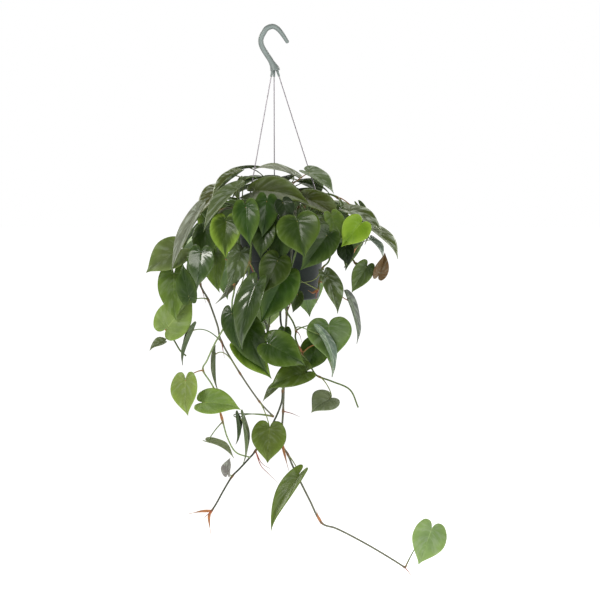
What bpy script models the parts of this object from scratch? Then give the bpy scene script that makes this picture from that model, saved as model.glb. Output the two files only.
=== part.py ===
"""A hanging pot of heartleaf philodendron: trailing leafy stems rooted in potting soil, in a plastic
pot that hangs from a plastic hook by three wires. The origin is where a rail bears on the underside
of the hook's crown. The values below are in millimetres, and the objects are in metres, +Z up. The
plant's points are (right, away from the viewer, up)."""

import math
import random
from collections import namedtuple

import bmesh
import bpy
import numpy as np
from mathutils import Matrix, Vector
from mathutils.bvhtree import BVHTree
from mathutils.geometry import interpolate_bezier

MM = 0.001
TOUCH = 0.3
UP = Vector((0, 0, 1))

# The hanger: its head is the point that the wires and the pot hang from, a little off plumb
HEAD = Vector((3.6, 0, -66))
LEAN = math.radians(2.6)
HOOK_RADIUS = 3.7
HOOK_TIP = 0.66
HOOK_LINE = ((22.8, -19.6), (17.5, -11.3), (11.5, -3.1), (5.5, 2.2), (-0.5, 3.7), (-8, 0.7),
             (-13, -6.1), (-16.5, -13.6), (-16.6, -21.1), (-14, -28.6), (-8, -38.3), (-1, -49), (3, -58))
HEAD_TOP = 16
HEAD_BOTTOM = 4
HEAD_TOP_RADIUS = 3.9
HEAD_RADIUS = 6.9
SLEEVE_RADIUS = 2.1
SLEEVE_TOP = 6
SLEEVE_BOTTOM = -5
SOCKET_TOP = 2
WIRE_RADIUS = 0.9
WIRE_TOP_CIRCLE = 4.9
WIRE_CIRCLE = 69.5
WIRE_HOLE = 0.45
WIRE_FOOT = 1.9
WIRE_ANGLES = {"right": -21, "left": -141, "back": 99}

# The pot, down from the middle of its rim's top, which hangs this far under the head
HANG = 219.2
POT_HEIGHT = 120
RIM_RADIUS = 75
WALL_RADIUS = 66.6
BASE_RADIUS = 51
WALL = 1.7
FLANGE = 2.4
SKIRT = 13
BASE_CHAMFER = 2
DRAIN_HOLES = 6
DRAIN_RADIUS = 4
DRAIN_CIRCLE = 32
POT_STEPS = 32
SOIL_STEPS = 24

# The soil
SOIL_TOP = 14
SOIL_CROWN = 3
SOIL_GAP = 0.35
ROOT_DEPTH = 22
ROOT_RISE = 6
ROOT_GAP = 0.6

# The plant: each half blade's outline is (along the midrib, across it), as shares of its size
OUTLINE = ((-0.18, 0.3), (-0.17, 0.66), (0.06, 0.96), (0.34, 0.98), (0.62, 0.68), (0.83, 0.26))
MIDRIB = (0, 0.45, 1)
BLADE = 0.9
PETIOLE_RADIUS = 1.0
SPUR_RADIUS = {"root": 0.9, "sheath": 1.5, "stalk": 0.9}
STEM_STEP = 32
STEM_TAPER = 0.25
SPUR_STEP = 24
SPUR_TAPER = 0.6
PETIOLE_SIDES = 3
PETIOLE_STEPS = 3
PETIOLE_TAPER = (1.15, 1.05, 1.05, 0.6)
CLEAR = 1.0
CLOSE = 2.5
NEAR = 5
FLAT = math.radians(0.6)

Leaf = namedtuple("Leaf", "node base tip face breadth fold arch push")
Vine = namedtuple("Vine", "name radius route leaves spurs")


def leaf(node, base, tip, face, breadth=0.9, fold=14, arch=0.07, push=(0, -1, 0)):
    """A leaf whose petiole leaves the stem at the route point `node`. Its blade runs from base to
    tip, and its upper side looks along face. breadth is its width over its length, fold the angle
    that each half is raised by, arch its bulge over its length, and push the way that it can give."""
    return Leaf(node, Vector(base), Vector(tip), Vector(face), breadth, math.radians(fold), arch,
                Vector(push))


def spur(kind, node, *points):
    """An aerial root or a leaf sheath that grows from the route point `node` through the points."""
    return kind, node, [Vector(point) for point in points]


def vine(name, radius, route, leaves, spurs=()):
    """A stem through the route's points, from the soil out, with its leaves and spurs."""
    return Vine(name, radius, [Vector(point) for point in route], list(leaves), list(spurs))


VINES = [
    vine("stem_crown_top", 1.8,
         [(8, -6, -299), (10, -10, -270), (14, -14, -246)],
         [leaf(2, (34, -20, -219), (-27.5, -26, -206), (0.05, -0.22, 1), 0.75, 10),
          leaf(2, (-26, -60, -242), (56, -88, -258), (0.05, -0.62, 0.8), 0.74, 10, 0.09),
          leaf(1, (-30.5, -8, -207), (-78.5, -20, -239), (-0.5, -0.1, 0.85), 0.7, 16, 0.16),
          leaf(1, (-44, -54, -226), (-47, -60, -261), (-0.9, -0.2, 0.2), 0.6, 46),
          leaf(2, (53, -18, -213), (92, -32, -243), (0.4, -0.5, 0.8), 0.8),
          leaf(1, (48, -54, -251), (102, -78, -286), (0.3, -0.6, 0.75), 0.76,
               push=(0.3, 0.3, -1))]),
    vine("stem_crown_front", 1.8,
         [(20, -26, -299), (18, -58, -258), (10, -83, -256), (-1, -93, -290), (-3, -95, -340),
          (-2, -100, -405), (-4, -104, -440)],
         [leaf(2, (37, -122, -282), (48.5, -140, -336), (-0.1, -0.95, 0.3), 1.14, 9, 0.05),
          leaf(2, (-7, -98, -253), (-13, -107, -308), (0.15, -0.95, 0.2), 0.66, 10),
          leaf(2, (12, -98, -291), (12, -103, -349), (-0.05, -1, 0.1), 0.75, 6, 0.02),
          leaf(2, (16, -98, -256), (27, -102, -287), (0, -1, 0.3), 0.9),
          leaf(3, (10, -116, -340), (-12.5, -130, -390), (0.1, -0.95, 0.25), 0.85),
          leaf(4, (19, -118, -362), (-15.5, -126, -432), (0.15, -1, 0.2), 0.75),
          leaf(6, (-12.5, -112, -431), (-6.5, -113, -450), (0.9, -0.4, 0), 0.7, 30)]),
    vine("stem_crown_front_left", 1.8,
         [(-2, -28, -299), (-10, -58, -258), (-22, -88, -258), (-28, -102, -300), (-32, -104, -345),
          (-36, -106, -400), (-42, -106, -438)],
         [leaf(2, (-10, -116, -291), (-17, -126, -339), (-0.1, -0.95, 0.2), 0.76),
          leaf(2, (-38, -112, -262), (-31, -122, -320), (-0.1, -0.95, 0.2), 0.7),
          leaf(3, (-66.5, -106, -283), (-68, -114, -338), (-0.1, -0.95, 0.3), 0.85, 10),
          leaf(4, (-23, -124, -377), (-46, -130, -470), (-0.5, -0.85, 0.15), 0.48),
          leaf(5, (-38, -112, -434), (-10, -116, -503), (-0.25, -0.92, 0.1), 0.7),
          leaf(5, (-46, -104, -467), (1, -108, -515), (-0.15, -0.85, 0.4), 0.56),
          leaf(4, (-58, -110, -417), (-46, -114, -475), (-0.5, -0.8, 0.1), 0.6)],
         [spur("root", 4, (-26, -110, -360), (-17, -112, -374))]),
    vine("stem_crown_front_right", 1.8,
         [(40, -20, -299), (44, -52, -268), (44, -84, -266), (52, -101, -287), (57, -103, -312)],
         [leaf(3, (82, -116, -303), (43, -126, -356), (0.2, -0.95, 0.2), 0.72),
          leaf(3, (60, -92, -282), (65, -97, -328), (0.1, -0.95, 0.1), 0.8),
          leaf(3, (88, -100, -276), (99, -108, -318), (0.35, -0.85, 0.3), 0.75)]),
    vine("stem_crown_left", 1.8,
         [(-22, -10, -299), (-44, -20, -258), (-76, -40, -254), (-96, -56, -285), (-100, -60, -330)],
         [leaf(2, (-77, -30, -239), (-108.5, -50, -278), (-0.5, -0.6, 0.6), 0.8),
          leaf(3, (-110, -92, -271), (-147.5, -110, -357), (-0.45, -0.85, 0.1), 0.24, 30),
          leaf(3, (-98, -86, -296), (-86, -94, -346), (-0.6, -0.75, 0.2), 0.85),
          leaf(2, (-48.5, -66, -243), (-101, -92, -304), (-0.55, -0.55, 0.6), 0.46, 26),
          leaf(4, (-82, -80, -334), (-78.5, -86, -390), (-0.5, -0.8, 0.1), 0.7),
          leaf(1, (-51.5, -44, -229), (-90.5, -60, -272), (-0.6, -0.3, 0.75), 0.6, 30)]),
    vine("stem_right_edge", 1.6,
         [(64, 8, -299), (88, 4, -264), (110, -14, -272), (117, -30, -312), (118, -34, -336),
          (123, -38, -348), (127, -40, -352)],
         [leaf(6, (140.5, -46, -353), (118, -52, -392), (-0.1, -0.9, 0.1), 0.68),
          leaf(3, (131, -92, -288), (102.5, -103, -322), (0.1, -0.95, 0.3), 0.95, 12),
          leaf(4, (148, -40, -313), (166, -44, -341), (0.5, -0.3, 0.8), 0.8),
          leaf(5, (158, -44, -366), (168, -48, -332), (0.2, -0.95, 0.1), 0.72, 30, 0.12),
          leaf(3, (148, -28, -298), (188.5, -44, -340), (0.45, -0.3, 0.85), 0.75, 16),
          leaf(3, (108, -84, -321), (113, -88, -350), (-0.2, -0.9, 0.2), 0.9)],
         [spur("sheath", 4, (123, -42, -328), (127, -46, -322))]),
    vine("stem_crown_right", 1.8,
         [(44, 8, -299), (72, 4, -250), (98, 4, -252), (112, 6, -276), (113, 10, -304)],
         [leaf(2, (113, -50, -270), (165, -66, -302), (0.3, -0.5, 0.85), 0.62),
          leaf(1, (96, 12, -262), (140, 8, -292), (0.3, -0.1, 0.9), 0.75),
          leaf(2, (124, 0, -268), (134, -2, -324), (1, 0, 0.2), 0.85, push=(1, 0, 0)),
          leaf(3, (126, 36, -276), (136, 42, -330), (1, 0.2, 0.2), 0.85, push=(1, 0, 0)),
          leaf(4, (114, 20, -312), (116, 16, -358), (1, 0, 0.1), 0.8, push=(1, 0, 0))]),
    vine("stem_long_left", 1.7,
         [(-28, -28, -299), (-50, -36, -270), (-74, -58, -270), (-96, -72, -302), (-104, -79, -345),
          (-105.5, -80, -377), (-93.5, -82, -401), (-80, -84, -438.5), (-74, -85, -462.5),
          (-47, -84, -509), (-18.5, -80, -551), (2.5, -77, -574)],
         [leaf(4, (-103, -118, -329), (-108, -124, -381), (0.1, -1, 0.25), 0.8, 22),
          leaf(6, (-121, -110, -396), (-131, -108, -346), (-0.3, -0.95, 0), 0.62, 8, 0.03),
          leaf(8, (-114.5, -88, -443), (-134, -90, -496), (-1, -0.1, 0.35), 0.3, 62, 0.03),
          leaf(9, (-83, -92, -478), (-81, -92, -537), (-1, 0.1, 0), 0.22, 60, 0.02),
          leaf(11, (-53, -86, -572), (-51, -88, -614), (1, -0.15, 0), 0.36, 58, 0.03),
          leaf(11, (-44, -78, -575), (-39, -80, -643), (0.95, -0.3, 0), 0.22, 56, 0.03),
          leaf(10, (-3.5, -88, -589), (-6.5, -94, -641), (0, -0.95, 0.2), 1.0, 10)],
         [spur("root", 5, (-101, -82, -392), (-97, -84, -406)),
          spur("root", 8, (-72, -88, -474), (-69.5, -89, -486))]),
    vine("stem_light_left", 1.5,
         [(-8, -44, -299), (-18, -62, -268), (-36, -86, -268), (-50, -93, -310), (-54.5, -92, -380),
          (-58, -92, -401), (-60, -90, -420), (-72, -92, -444), (-84, -95, -465), (-95, -95, -489),
          (-101, -95, -504), (-84.5, -95, -532), (-72, -95, -580), (-65, -94, -604),
          (-53, -92, -625), (-32, -90, -633)],
         [leaf(10, (-126.5, -104, -516), (-124, -108, -570), (-0.35, -0.95, 0.1), 0.8),
          leaf(11, (-101, -100, -550), (-45, -108, -558), (0.05, -0.75, 0.65), 0.85, 12),
          leaf(12, (-92, -100, -609), (-54.5, -112, -630), (0.2, -0.3, 0.95), 0.6, 22),
          leaf(4, (-54.5, -84, -333), (-80, -88, -408), (0.8, -0.5, 0), 0.42, 40),
          leaf(4, (-46, -80, -330), (-63.5, -84, -383), (0.3, -0.9, 0), 0.7, 20)],
         [spur("sheath", 4, (-57, -95, -372), (-60, -97, -360)),
          spur("sheath", 11, (-77, -96, -548), (-66, -98, -543)),
          spur("sheath", 12, (-76, -97, -565), (-79, -98, -555))]),
    vine("stem_front_dark", 1.8,
         [(10, -48, -299), (8, -68, -270), (8, -88, -276), (12, -90, -340), (13, -84, -432),
          (19, -84, -446), (17.5, -82, -491), (16, -80, -535), (13, -76, -557), (-0.5, -64, -588),
          (-24.5, -66, -625.5), (-33.5, -70, -636), (-48.5, -74, -652), (-59, -78, -662.5),
          (-71, -80, -682), (-81.5, -82, -701), (-89, -83, -713)],
         [leaf(5, (-4, -120, -462), (50, -126, -493), (-0.1, -0.92, 0.35), 0.86, 8),
          leaf(6, (50, -132, -503), (-4, -138, -527), (-0.1, -0.8, 0.6), 0.78, 14),
          leaf(7, (12, -100, -522), (-14, -102, -549), (-0.2, -0.85, 0.4), 0.4, 30),
          leaf(5, (19, -100, -443), (17, -102, -467), (0, -1, 0.2), 0.9),
          leaf(13, (-65, -94, -657), (-62, -90, -633), (-0.5, -0.8, 0.2), 0.8, 30)],
         [spur("sheath", 16, (-93, -84, -722), (-90.5, -84, -748)),
          spur("sheath", 16, (-105, -85, -713.5), (-123.5, -88, -717)),
          spur("root", 16, (-97, -86, -720), (-103, -87, -727)),
          spur("root", 10, (-15.5, -71, -643), (-2, -74, -652)),
          spur("root", 10, (-17, -71, -646), (-6, -74, -658), (8.5, -76, -672))]),
    vine("stem_long_right", 1.8,
         [(32, -46, -299), (34, -68, -271), (34, -86, -280), (28, -84, -340), (22, -74, -420),
          (19, -66, -480), (17.5, -62, -535), (16.5, -63, -567), (14.5, -64, -612),
          (23.5, -66, -631), (32.5, -68, -652), (47.5, -70, -682), (56.5, -70, -700),
          (73, -70, -732), (94, -72, -740), (116.5, -72, -751), (146.5, -72, -767.5),
          (176.5, -72, -785.5), (197.5, -72, -799)],
         [leaf(18, (236.5, -76, -740), (216, -82, -793), (0.15, -1, 0.15), 0.95, 18),
          leaf(9, (38.5, -78, -661), (-3, -86, -741), (-0.7, -0.7, 0.15), 0.38, 18),
          leaf(4, (38, -80, -392), (31, -84, -420), (0.3, -0.9, 0.1), 0.7)],
         [spur("sheath", 8, (19, -70, -632), (25, -72, -655)),
          spur("root", 7, (29.5, -68, -570), (41.5, -69, -575)),
          spur("root", 8, (3, -67, -617), (-6, -68, -628)),
          spur("sheath", 13, (68, -73, -722), (66, -75, -712)),
          spur("root", 18, (203, -73, -806), (208, -74, -813))]),
    vine("stem_right_front", 1.6,
         [(50, -36, -299), (54, -58, -270), (54, -84, -270), (40, -97, -315), (24, -100, -370),
          (19, -99, -408), (31, -99, -432), (35.5, -99, -445), (35, -99, -457), (44.5, -99, -479),
          (50.5, -99, -486), (62.5, -100, -507), (70, -101, -513), (89.5, -102, -520),
          (115, -103, -532), (127, -104, -558)],
         [leaf(7, (83.5, -106, -436), (86.5, -126, -489), (0, -0.95, 0.1), 1.24, 20),
          leaf(9, (66, -86, -466), (50, -88, -507), (0.1, -0.95, 0.2), 1.0),
          leaf(7, (68, -128, -446), (91, -142, -508), (0.9, -0.35, 0.3), 0.45, 44),
          leaf(9, (68.5, -94, -465), (91, -96, -513), (0.9, -0.3, 0.2), 0.7, 42),
          leaf(12, (86, -104, -544), (58, -122, -563), (0.1, -0.6, 0.7), 1.15, 8)],
         [spur("root", 7, (41, -103, -451), (44, -105, -462)),
          spur("sheath", 9, (41, -101, -470), (38, -102, -463))]),
    vine("stem_right_side", 1.6,
         [(60, -26, -299), (74, -46, -266), (92, -58, -276), (86, -70, -338), (75, -76, -354),
          (70, -80, -374), (68.5, -82, -386)],
         [leaf(4, (80, -90, -364), (98, -98, -420), (0.45, -0.85, 0.2), 0.56, 20, 0.1),
          leaf(5, (111, -76, -399), (128.5, -82, -465), (0.9, -0.4, 0.1), 0.34, 50, 0.04)],
         [spur("root", 6, (65, -86, -394), (67, -88, -407)),
          spur("sheath", 6, (60, -86, -390), (53, -88, -386)),
          spur("stalk", 6, (50, -93, -376), (32, -96, -367)),
          spur("stalk", 4, (62, -90, -371), (33, -98, -376))]),
    vine("stem_low_left", 1.6,
         [(-34, 4, -299), (-58, -2, -264), (-92, -20, -264), (-120, -44, -296), (-138, -60, -350),
          (-150, -68, -410), (-155, -72, -448), (-144.5, -74, -461), (-135.5, -75, -476),
          (-126.5, -76, -484)],
         [leaf(4, (-134, -92, -326), (-185, -98, -360), (-0.2, -0.9, 0.3), 0.85),
          leaf(4, (-144, -84, -362), (-143, -92, -431), (-0.3, -0.93, 0.1), 0.7, 8, 0.03),
          leaf(6, (-155, -82, -443), (-116, -74, -397), (-0.1, -1, 0.1), 0.9, 10),
          leaf(6, (-159.5, -82, -463), (-180.5, -84, -475), (0, -0.6, 0.8), 0.8, 30)],
         [spur("sheath", 6, (-158, -76, -440), (-160, -78, -430))]),
]

# The stems on the far side: each one's angle round the pot, and how low its last leaf hangs. They
# start as (reach from the pot's axis, height), and the ranges are for seeded draws. Some nodes have
# lost their leaf.
BACK_STEMS = {"a": (26, -310), "b": (42, -370), "c": (66, -395), "d": (92, -455), "e": (118, -395),
              "f": (143, -385), "g": (168, -370), "h": (194, -350)}
BACK_SEED = 7
BACK_BARE = {"b": (2,), "c": (4,), "g": (2,), "h": (2,)}
BACK_RADIUS = 1.7
BACK_START = ((44, -299), (62, -268), (84, -266), (100, -290))
BACK_STEP = 30
BACK_END = 50
BACK_DRIFT = (-5, 5)
BACK_SWAY = (-2, 2)
BACK_OUT = (14, 30)
BACK_ASIDE = (12, 30)
BACK_ABOVE = (-8, 8)
BACK_LEAN = (0.1, 0.4)
BACK_TURN = (0, 0.4)
BACK_LIFT = (0.1, 0.5)
BACK_ROLL = (-0.2, 0.5)
BACK_FOLDS = (8, 24)
LENGTHS = (56, 72)
BREADTHS = (0.82, 0.95)

# The leaves over the soil behind the middle: each one's angle round the pot, and its height
ROOF_ROUTE = ((4, 20, -14), (4, 24, 14), (2, 26, 36))
ROOF_LEAVES = ((6, 56), (30, 44), (52, 58), (74, 46), (96, 58), (118, 46), (134, 62), (160, 50),
               (188, 62), (206, 48))
ROOF_LENGTHS = (46, 58)
ROOF_OUT = (22, 32)
ROOF_DIP = (0.25, 0.5)
ROOF_TILT = 0.4
ROOF_FOLD = 12

# How a leaf gives way to what is there already: its blade's moves along its push and up or down, and
# its petiole's bends on a widening spiral
PUSH_STEP = 3
PUSHES = 17
LIFTS = (0, 6, -6, 12, -12)
BENDS = 30
BEND_TURN = 2.4
BEND_STEP = 4.5
STALK_OFF = 2.0
STALK_END = 5


def clear_scene():
    for obj in list(bpy.data.objects):
        bpy.data.objects.remove(obj)


def new_collection(name):
    made = bpy.data.collections.new(name)
    bpy.context.scene.collection.children.link(made)
    return made


def material(name, colour, roughness):
    made = bpy.data.materials.new(name)
    made.use_nodes = True
    shader = made.node_tree.nodes["Principled BSDF"]
    shader.inputs["Base Color"].default_value = (*colour, 1)
    shader.inputs["Roughness"].default_value = roughness
    made.diffuse_color = (*colour, 1)
    return made


def mesh_object(name, mesh, collection, finish):
    """An object for the mesh, with its finish and its place in a collection."""
    obj = bpy.data.objects.new(name, mesh)
    mesh.materials.clear()
    mesh.materials.append(finish)
    collection.objects.link(obj)
    return obj


def set_modifier(obj, kind, **settings):
    modifier = obj.modifiers.new(kind.title(), kind)
    for key, value in settings.items():
        setattr(modifier, key, value)
    return modifier


def frozen(obj):
    """The object's mesh with its modifiers applied and its loose caps welded, in its own frame."""
    bpy.context.view_layer.update()
    graph = bpy.context.evaluated_depsgraph_get()
    mesh = bpy.data.meshes.new_from_object(obj.evaluated_get(graph))
    shape = bmesh.new()
    shape.from_mesh(mesh)
    bmesh.ops.remove_doubles(shape, verts=shape.verts, dist=1e-6)
    bmesh.ops.recalc_face_normals(shape, faces=shape.faces)
    shape.to_mesh(mesh)
    shape.free()
    return mesh


def ring(sides):
    """A guide: the section of a tube with this many sides, 1 mm in radius."""
    name = f"section_{sides}"
    if name in bpy.data.objects:
        return bpy.data.objects[name]
    curve = bpy.data.curves.new(name, "CURVE")
    spline = curve.splines.new("POLY")
    spline.points.add(sides - 1)
    spline.use_cyclic_u = True
    for i, place in enumerate(spline.points):
        turn = 2 * math.pi * i / sides
        place.co = (MM * math.cos(turn), MM * math.sin(turn), 0, 1)
    section = bpy.data.objects.new(name, curve)
    section.hide_render = True
    guides.objects.link(section)
    return section


def tube(name, points, radius, collection, finish, swell=None, sides=4):
    """A closed tube through the points, as a mesh. swell holds its radius at each point, as a share."""
    curve = bpy.data.curves.new(name, "CURVE")
    curve.dimensions = "3D"
    curve.bevel_mode = "OBJECT"
    curve.bevel_object = ring(sides)
    curve.use_fill_caps = True
    spline = curve.splines.new("POLY")
    spline.points.add(len(points) - 1)
    for place, point, share in zip(spline.points, points, swell or [1] * len(points)):
        place.co = (*(point * MM), 1)
        place.radius = radius * share
    guide = bpy.data.objects.new(name + "_line", curve)
    collection.objects.link(guide)
    mesh = frozen(guide)
    bpy.data.objects.remove(guide)
    return mesh_object(name, mesh, collection, finish)


def smooth(points, step):
    """Points every step or so on a smooth curve through these points."""
    ends = [2 * points[0] - points[1], *points, 2 * points[-1] - points[-2]]
    line = []
    for a, b, c, d in zip(ends, ends[1:], ends[2:], ends[3:]):
        count = max(1, math.ceil((c - b).length / step))
        for i in range(count):
            t = i / count
            line.append(0.5 * (2 * b + (c - a) * t + (2 * a - 5 * b + 4 * c - d) * t**2
                               + (3 * b - a - 3 * c + d) * t**3))
    return [*line, points[-1].copy()]


def close_points(line):
    """Points a few millimetres apart along the straight pieces of a line."""
    spots = []
    for a, b in zip(line, line[1:]):
        count = math.ceil((b - a).length / CLOSE)
        spots += [a.lerp(b, i / count) for i in range(count)]
    return [*spots, line[-1]]


def joined(obj, pieces):
    """Fuses a collection's objects into the object, and removes them and the collection."""
    set_modifier(obj, "BOOLEAN", operation="UNION", operand_type="COLLECTION", collection=pieces,
                 solver="MANIFOLD")
    mesh = frozen(obj)
    obj.modifiers.clear()
    shape = bmesh.new()
    shape.from_mesh(mesh)
    bmesh.ops.dissolve_limit(shape, angle_limit=FLAT, verts=shape.verts, edges=shape.edges)
    shape.to_mesh(mesh)
    shape.free()
    old = obj.data
    obj.data = mesh
    bpy.data.meshes.remove(old)
    for piece in list(pieces.objects):
        bpy.data.objects.remove(piece)
    bpy.data.collections.remove(pieces)


def cut(obj, cutters):
    """Cuts the cutters out of the object, and leaves them in the scene as guides."""
    for cutter in cutters:
        cutter.hide_render = True
        cutter.display_type = "WIRE"
        set_modifier(obj, "BOOLEAN", operation="DIFFERENCE", object=cutter)


def rounded(obj, angle=40):
    obj.data.shade_smooth()
    obj.data.set_sharp_from_angle(angle=math.radians(angle))


def turned(name, profile, collection, finish, parent, steps):
    """A body turned from a profile of (radius, height) that runs up inside and down outside."""
    mesh = bpy.data.meshes.new(name)
    points = [(radius * MM, 0, height * MM) for radius, height in profile]
    mesh.from_pydata(points, [(i, i + 1) for i in range(len(points) - 1)], [])
    obj = mesh_object(name, mesh, collection, finish)
    obj.parent = parent
    set_modifier(obj, "SCREW", steps=steps, render_steps=steps, use_merge_vertices=True,
                 merge_threshold=0.00001, use_smooth_shade=True)
    return obj


def cylinder(name, radius, start, end, collection, finish, parent=None, end_radius=None, sides=16):
    """A round bar or a cone from start to end."""
    mesh = bpy.data.meshes.new(name)
    shape = bmesh.new()
    axis = end - start
    bmesh.ops.create_cone(shape, cap_ends=True, segments=sides, radius1=radius * MM,
                          radius2=(end_radius or radius) * MM, depth=axis.length * MM)
    shape.to_mesh(mesh)
    shape.free()
    obj = mesh_object(name, mesh, collection, finish)
    obj.parent = parent
    obj.location = (start + end) / 2 * MM
    obj.rotation_mode = "QUATERNION"
    obj.rotation_quaternion = UP.rotation_difference(axis)
    return obj


def wire_point(angle, height):
    """Where a wire's middle is at this height under the head, in the hanging frame."""
    share = (SOCKET_TOP - height) / (SOCKET_TOP + HANG + FLANGE / 2)
    reach = WIRE_TOP_CIRCLE + (WIRE_CIRCLE - WIRE_TOP_CIRCLE) * share
    turn = math.radians(angle)
    return Vector((reach * math.cos(turn), reach * math.sin(turn), height))


def make_hanging_frame(collection):
    """The empty at the head that the wires, the pot and the soil hang from, off plumb by LEAN."""
    frame = bpy.data.objects.new("hanging_frame", None)
    frame.location = HEAD * MM
    frame.rotation_euler.y = -LEAN
    collection.objects.link(frame)
    return frame


def make_hook(collection, cutters, frame, plastic):
    """The hook, its head and the three sleeves that the wires are moulded into."""
    line = smooth([Vector((x, 0, z)) for x, z in HOOK_LINE], 7)
    swell = [min(1, HOOK_TIP + (1 - HOOK_TIP) * i / (len(line) / 3)) for i in range(len(line))]
    hook = tube("hanger_hook", line, HOOK_RADIUS, collection, plastic, swell, 8)
    pieces = new_collection("hook_pieces")
    cylinder("head", HEAD_RADIUS, UP * HEAD_BOTTOM, UP * HEAD_TOP, pieces, plastic, frame,
             HEAD_TOP_RADIUS, 16)
    for side, angle in WIRE_ANGLES.items():
        cylinder("sleeve_" + side, SLEEVE_RADIUS, wire_point(angle, SLEEVE_BOTTOM),
                 wire_point(angle, SLEEVE_TOP), pieces, plastic, frame, sides=10)
    joined(hook, pieces)
    sockets = [cylinder("cut_socket_" + side, WIRE_RADIUS + WIRE_HOLE,
                        wire_point(angle, SLEEVE_BOTTOM - 3), wire_point(angle, SOCKET_TOP),
                        cutters, plastic, frame, sides=8)
               for side, angle in WIRE_ANGLES.items()]
    cut(hook, sockets)
    rounded(hook)


def make_wire(side, angle, collection, frame, steel):
    """A wire from its sleeve to the foot that holds it under the pot's flange."""
    top = wire_point(angle, SOCKET_TOP - TOUCH)
    foot = wire_point(angle, -HANG - FLANGE - TOUCH - WIRE_FOOT)
    wire = cylinder("hanger_wire_" + side, WIRE_RADIUS, foot, top, collection, steel, frame, sides=8)
    pieces = new_collection("wire_pieces")
    ball = bpy.data.meshes.new("foot")
    shape = bmesh.new()
    bmesh.ops.create_uvsphere(shape, u_segments=8, v_segments=6, radius=WIRE_FOOT * MM)
    shape.to_mesh(ball)
    shape.free()
    piece = mesh_object("foot", ball, pieces, steel)
    piece.parent = frame
    piece.location = foot * MM
    joined(wire, pieces)
    rounded(wire)


def make_pot(collection, cutters, frame, plastic):
    """The pot: a tapered wall with a flange and a skirt at its rim, holes for the wires and drains."""
    slope = (WALL_RADIUS - BASE_RADIUS) / (POT_HEIGHT - FLANGE)
    floor = POT_HEIGHT - WALL
    profile = [(0, -floor), (BASE_RADIUS + slope * WALL - WALL, -floor),
               (WALL_RADIUS - WALL, -FLANGE), (WALL_RADIUS - WALL, 0), (RIM_RADIUS, 0),
               (RIM_RADIUS, -SKIRT), (RIM_RADIUS - WALL, -SKIRT), (RIM_RADIUS - WALL, -FLANGE),
               (WALL_RADIUS, -FLANGE), (BASE_RADIUS + slope * BASE_CHAMFER, BASE_CHAMFER - POT_HEIGHT),
               (BASE_RADIUS - BASE_CHAMFER, -POT_HEIGHT), (0, -POT_HEIGHT)]
    profile = [(radius, height - HANG) for radius, height in profile]
    pot = turned("pot", profile, collection, plastic, frame, POT_STEPS)
    holes = [cylinder("cut_wire_hole_" + side, WIRE_RADIUS + WIRE_HOLE, wire_point(angle, 4 - HANG),
                      wire_point(angle, -HANG - FLANGE - 3), cutters, plastic, frame, sides=8)
             for side, angle in WIRE_ANGLES.items()]
    for i in range(DRAIN_HOLES):
        turn = 2 * math.pi * i / DRAIN_HOLES
        place = Vector((DRAIN_CIRCLE * math.cos(turn), DRAIN_CIRCLE * math.sin(turn), 0))
        low = place - UP * (HANG + POT_HEIGHT + 3)
        holes.append(cylinder(f"cut_drain_{i}", DRAIN_RADIUS, low, low + UP * (WALL + 6), cutters,
                              plastic, frame, sides=10))
    cut(pot, holes)


def make_soil(collection, cutters, frame, earth):
    """The soil, a little clear of the wall, with a plain hole where each stem stands."""
    slope = (WALL_RADIUS - BASE_RADIUS) / (POT_HEIGHT - FLANGE)
    floor = POT_HEIGHT - WALL - SOIL_GAP
    low_radius = BASE_RADIUS + slope * WALL - WALL - SOIL_GAP
    high_radius = WALL_RADIUS - slope * (SOIL_TOP - FLANGE) - WALL - SOIL_GAP
    profile = [(0, SOIL_CROWN - SOIL_TOP), (high_radius * 0.6, SOIL_CROWN * 0.6 - SOIL_TOP),
               (high_radius, -SOIL_TOP), (low_radius, -floor), (0, -floor)]
    profile = [(radius, height - HANG) for radius, height in profile]
    soil = turned("soil", profile, collection, earth, frame, SOIL_STEPS)
    holes = [cylinder("cut_root_" + one.name, one.radius + ROOT_GAP,
                      one.route[0] - UP * (ROOT_DEPTH + TOUCH), one.route[0] + UP * ROOT_DEPTH,
                      cutters, earth, sides=6)
             for one in VINES]
    cut(soil, holes)


def blade_point(one, along, across):
    """The middle of the blade's thickness, along from 0 at the petiole to 1 at the tip, and across
    from -1 to 1. The halves are raised along the midrib, and the whole is arched over its length."""
    run = one.tip - one.base
    length = run.length
    run.normalize()
    up = (one.face - run * one.face.dot(run)).normalized()
    half = across * one.breadth * length / 2
    lift = 4 * one.arch * length * along * (1 - along) + abs(half) * math.sin(one.fold)
    return one.base + run * along * length + run.cross(up) * half * math.cos(one.fold) + up * lift


def blade_faces():
    """The triangles of one blade: the midrib's points, then each half's outline, base to tip."""
    count = len(OUTLINE)
    faces = []
    for side in range(2):
        edge = [len(MIDRIB) + side * count + i for i in range(count)]
        half = [(0, edge[0], edge[1]), (0, edge[1], edge[2]), (0, edge[2], 1), (1, edge[2], edge[3]),
                (1, edge[3], edge[4]), (1, edge[4], 2), (2, edge[4], edge[5])]
        faces += half if side else [face[::-1] for face in half]
    return faces


def blade_points(one):
    """The points that blade_faces joins."""
    points = [blade_point(one, along, 0) for along in MIDRIB]
    for side in (1, -1):
        points += [blade_point(one, along, side * across) for along, across in OUTLINE]
    return points


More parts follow.
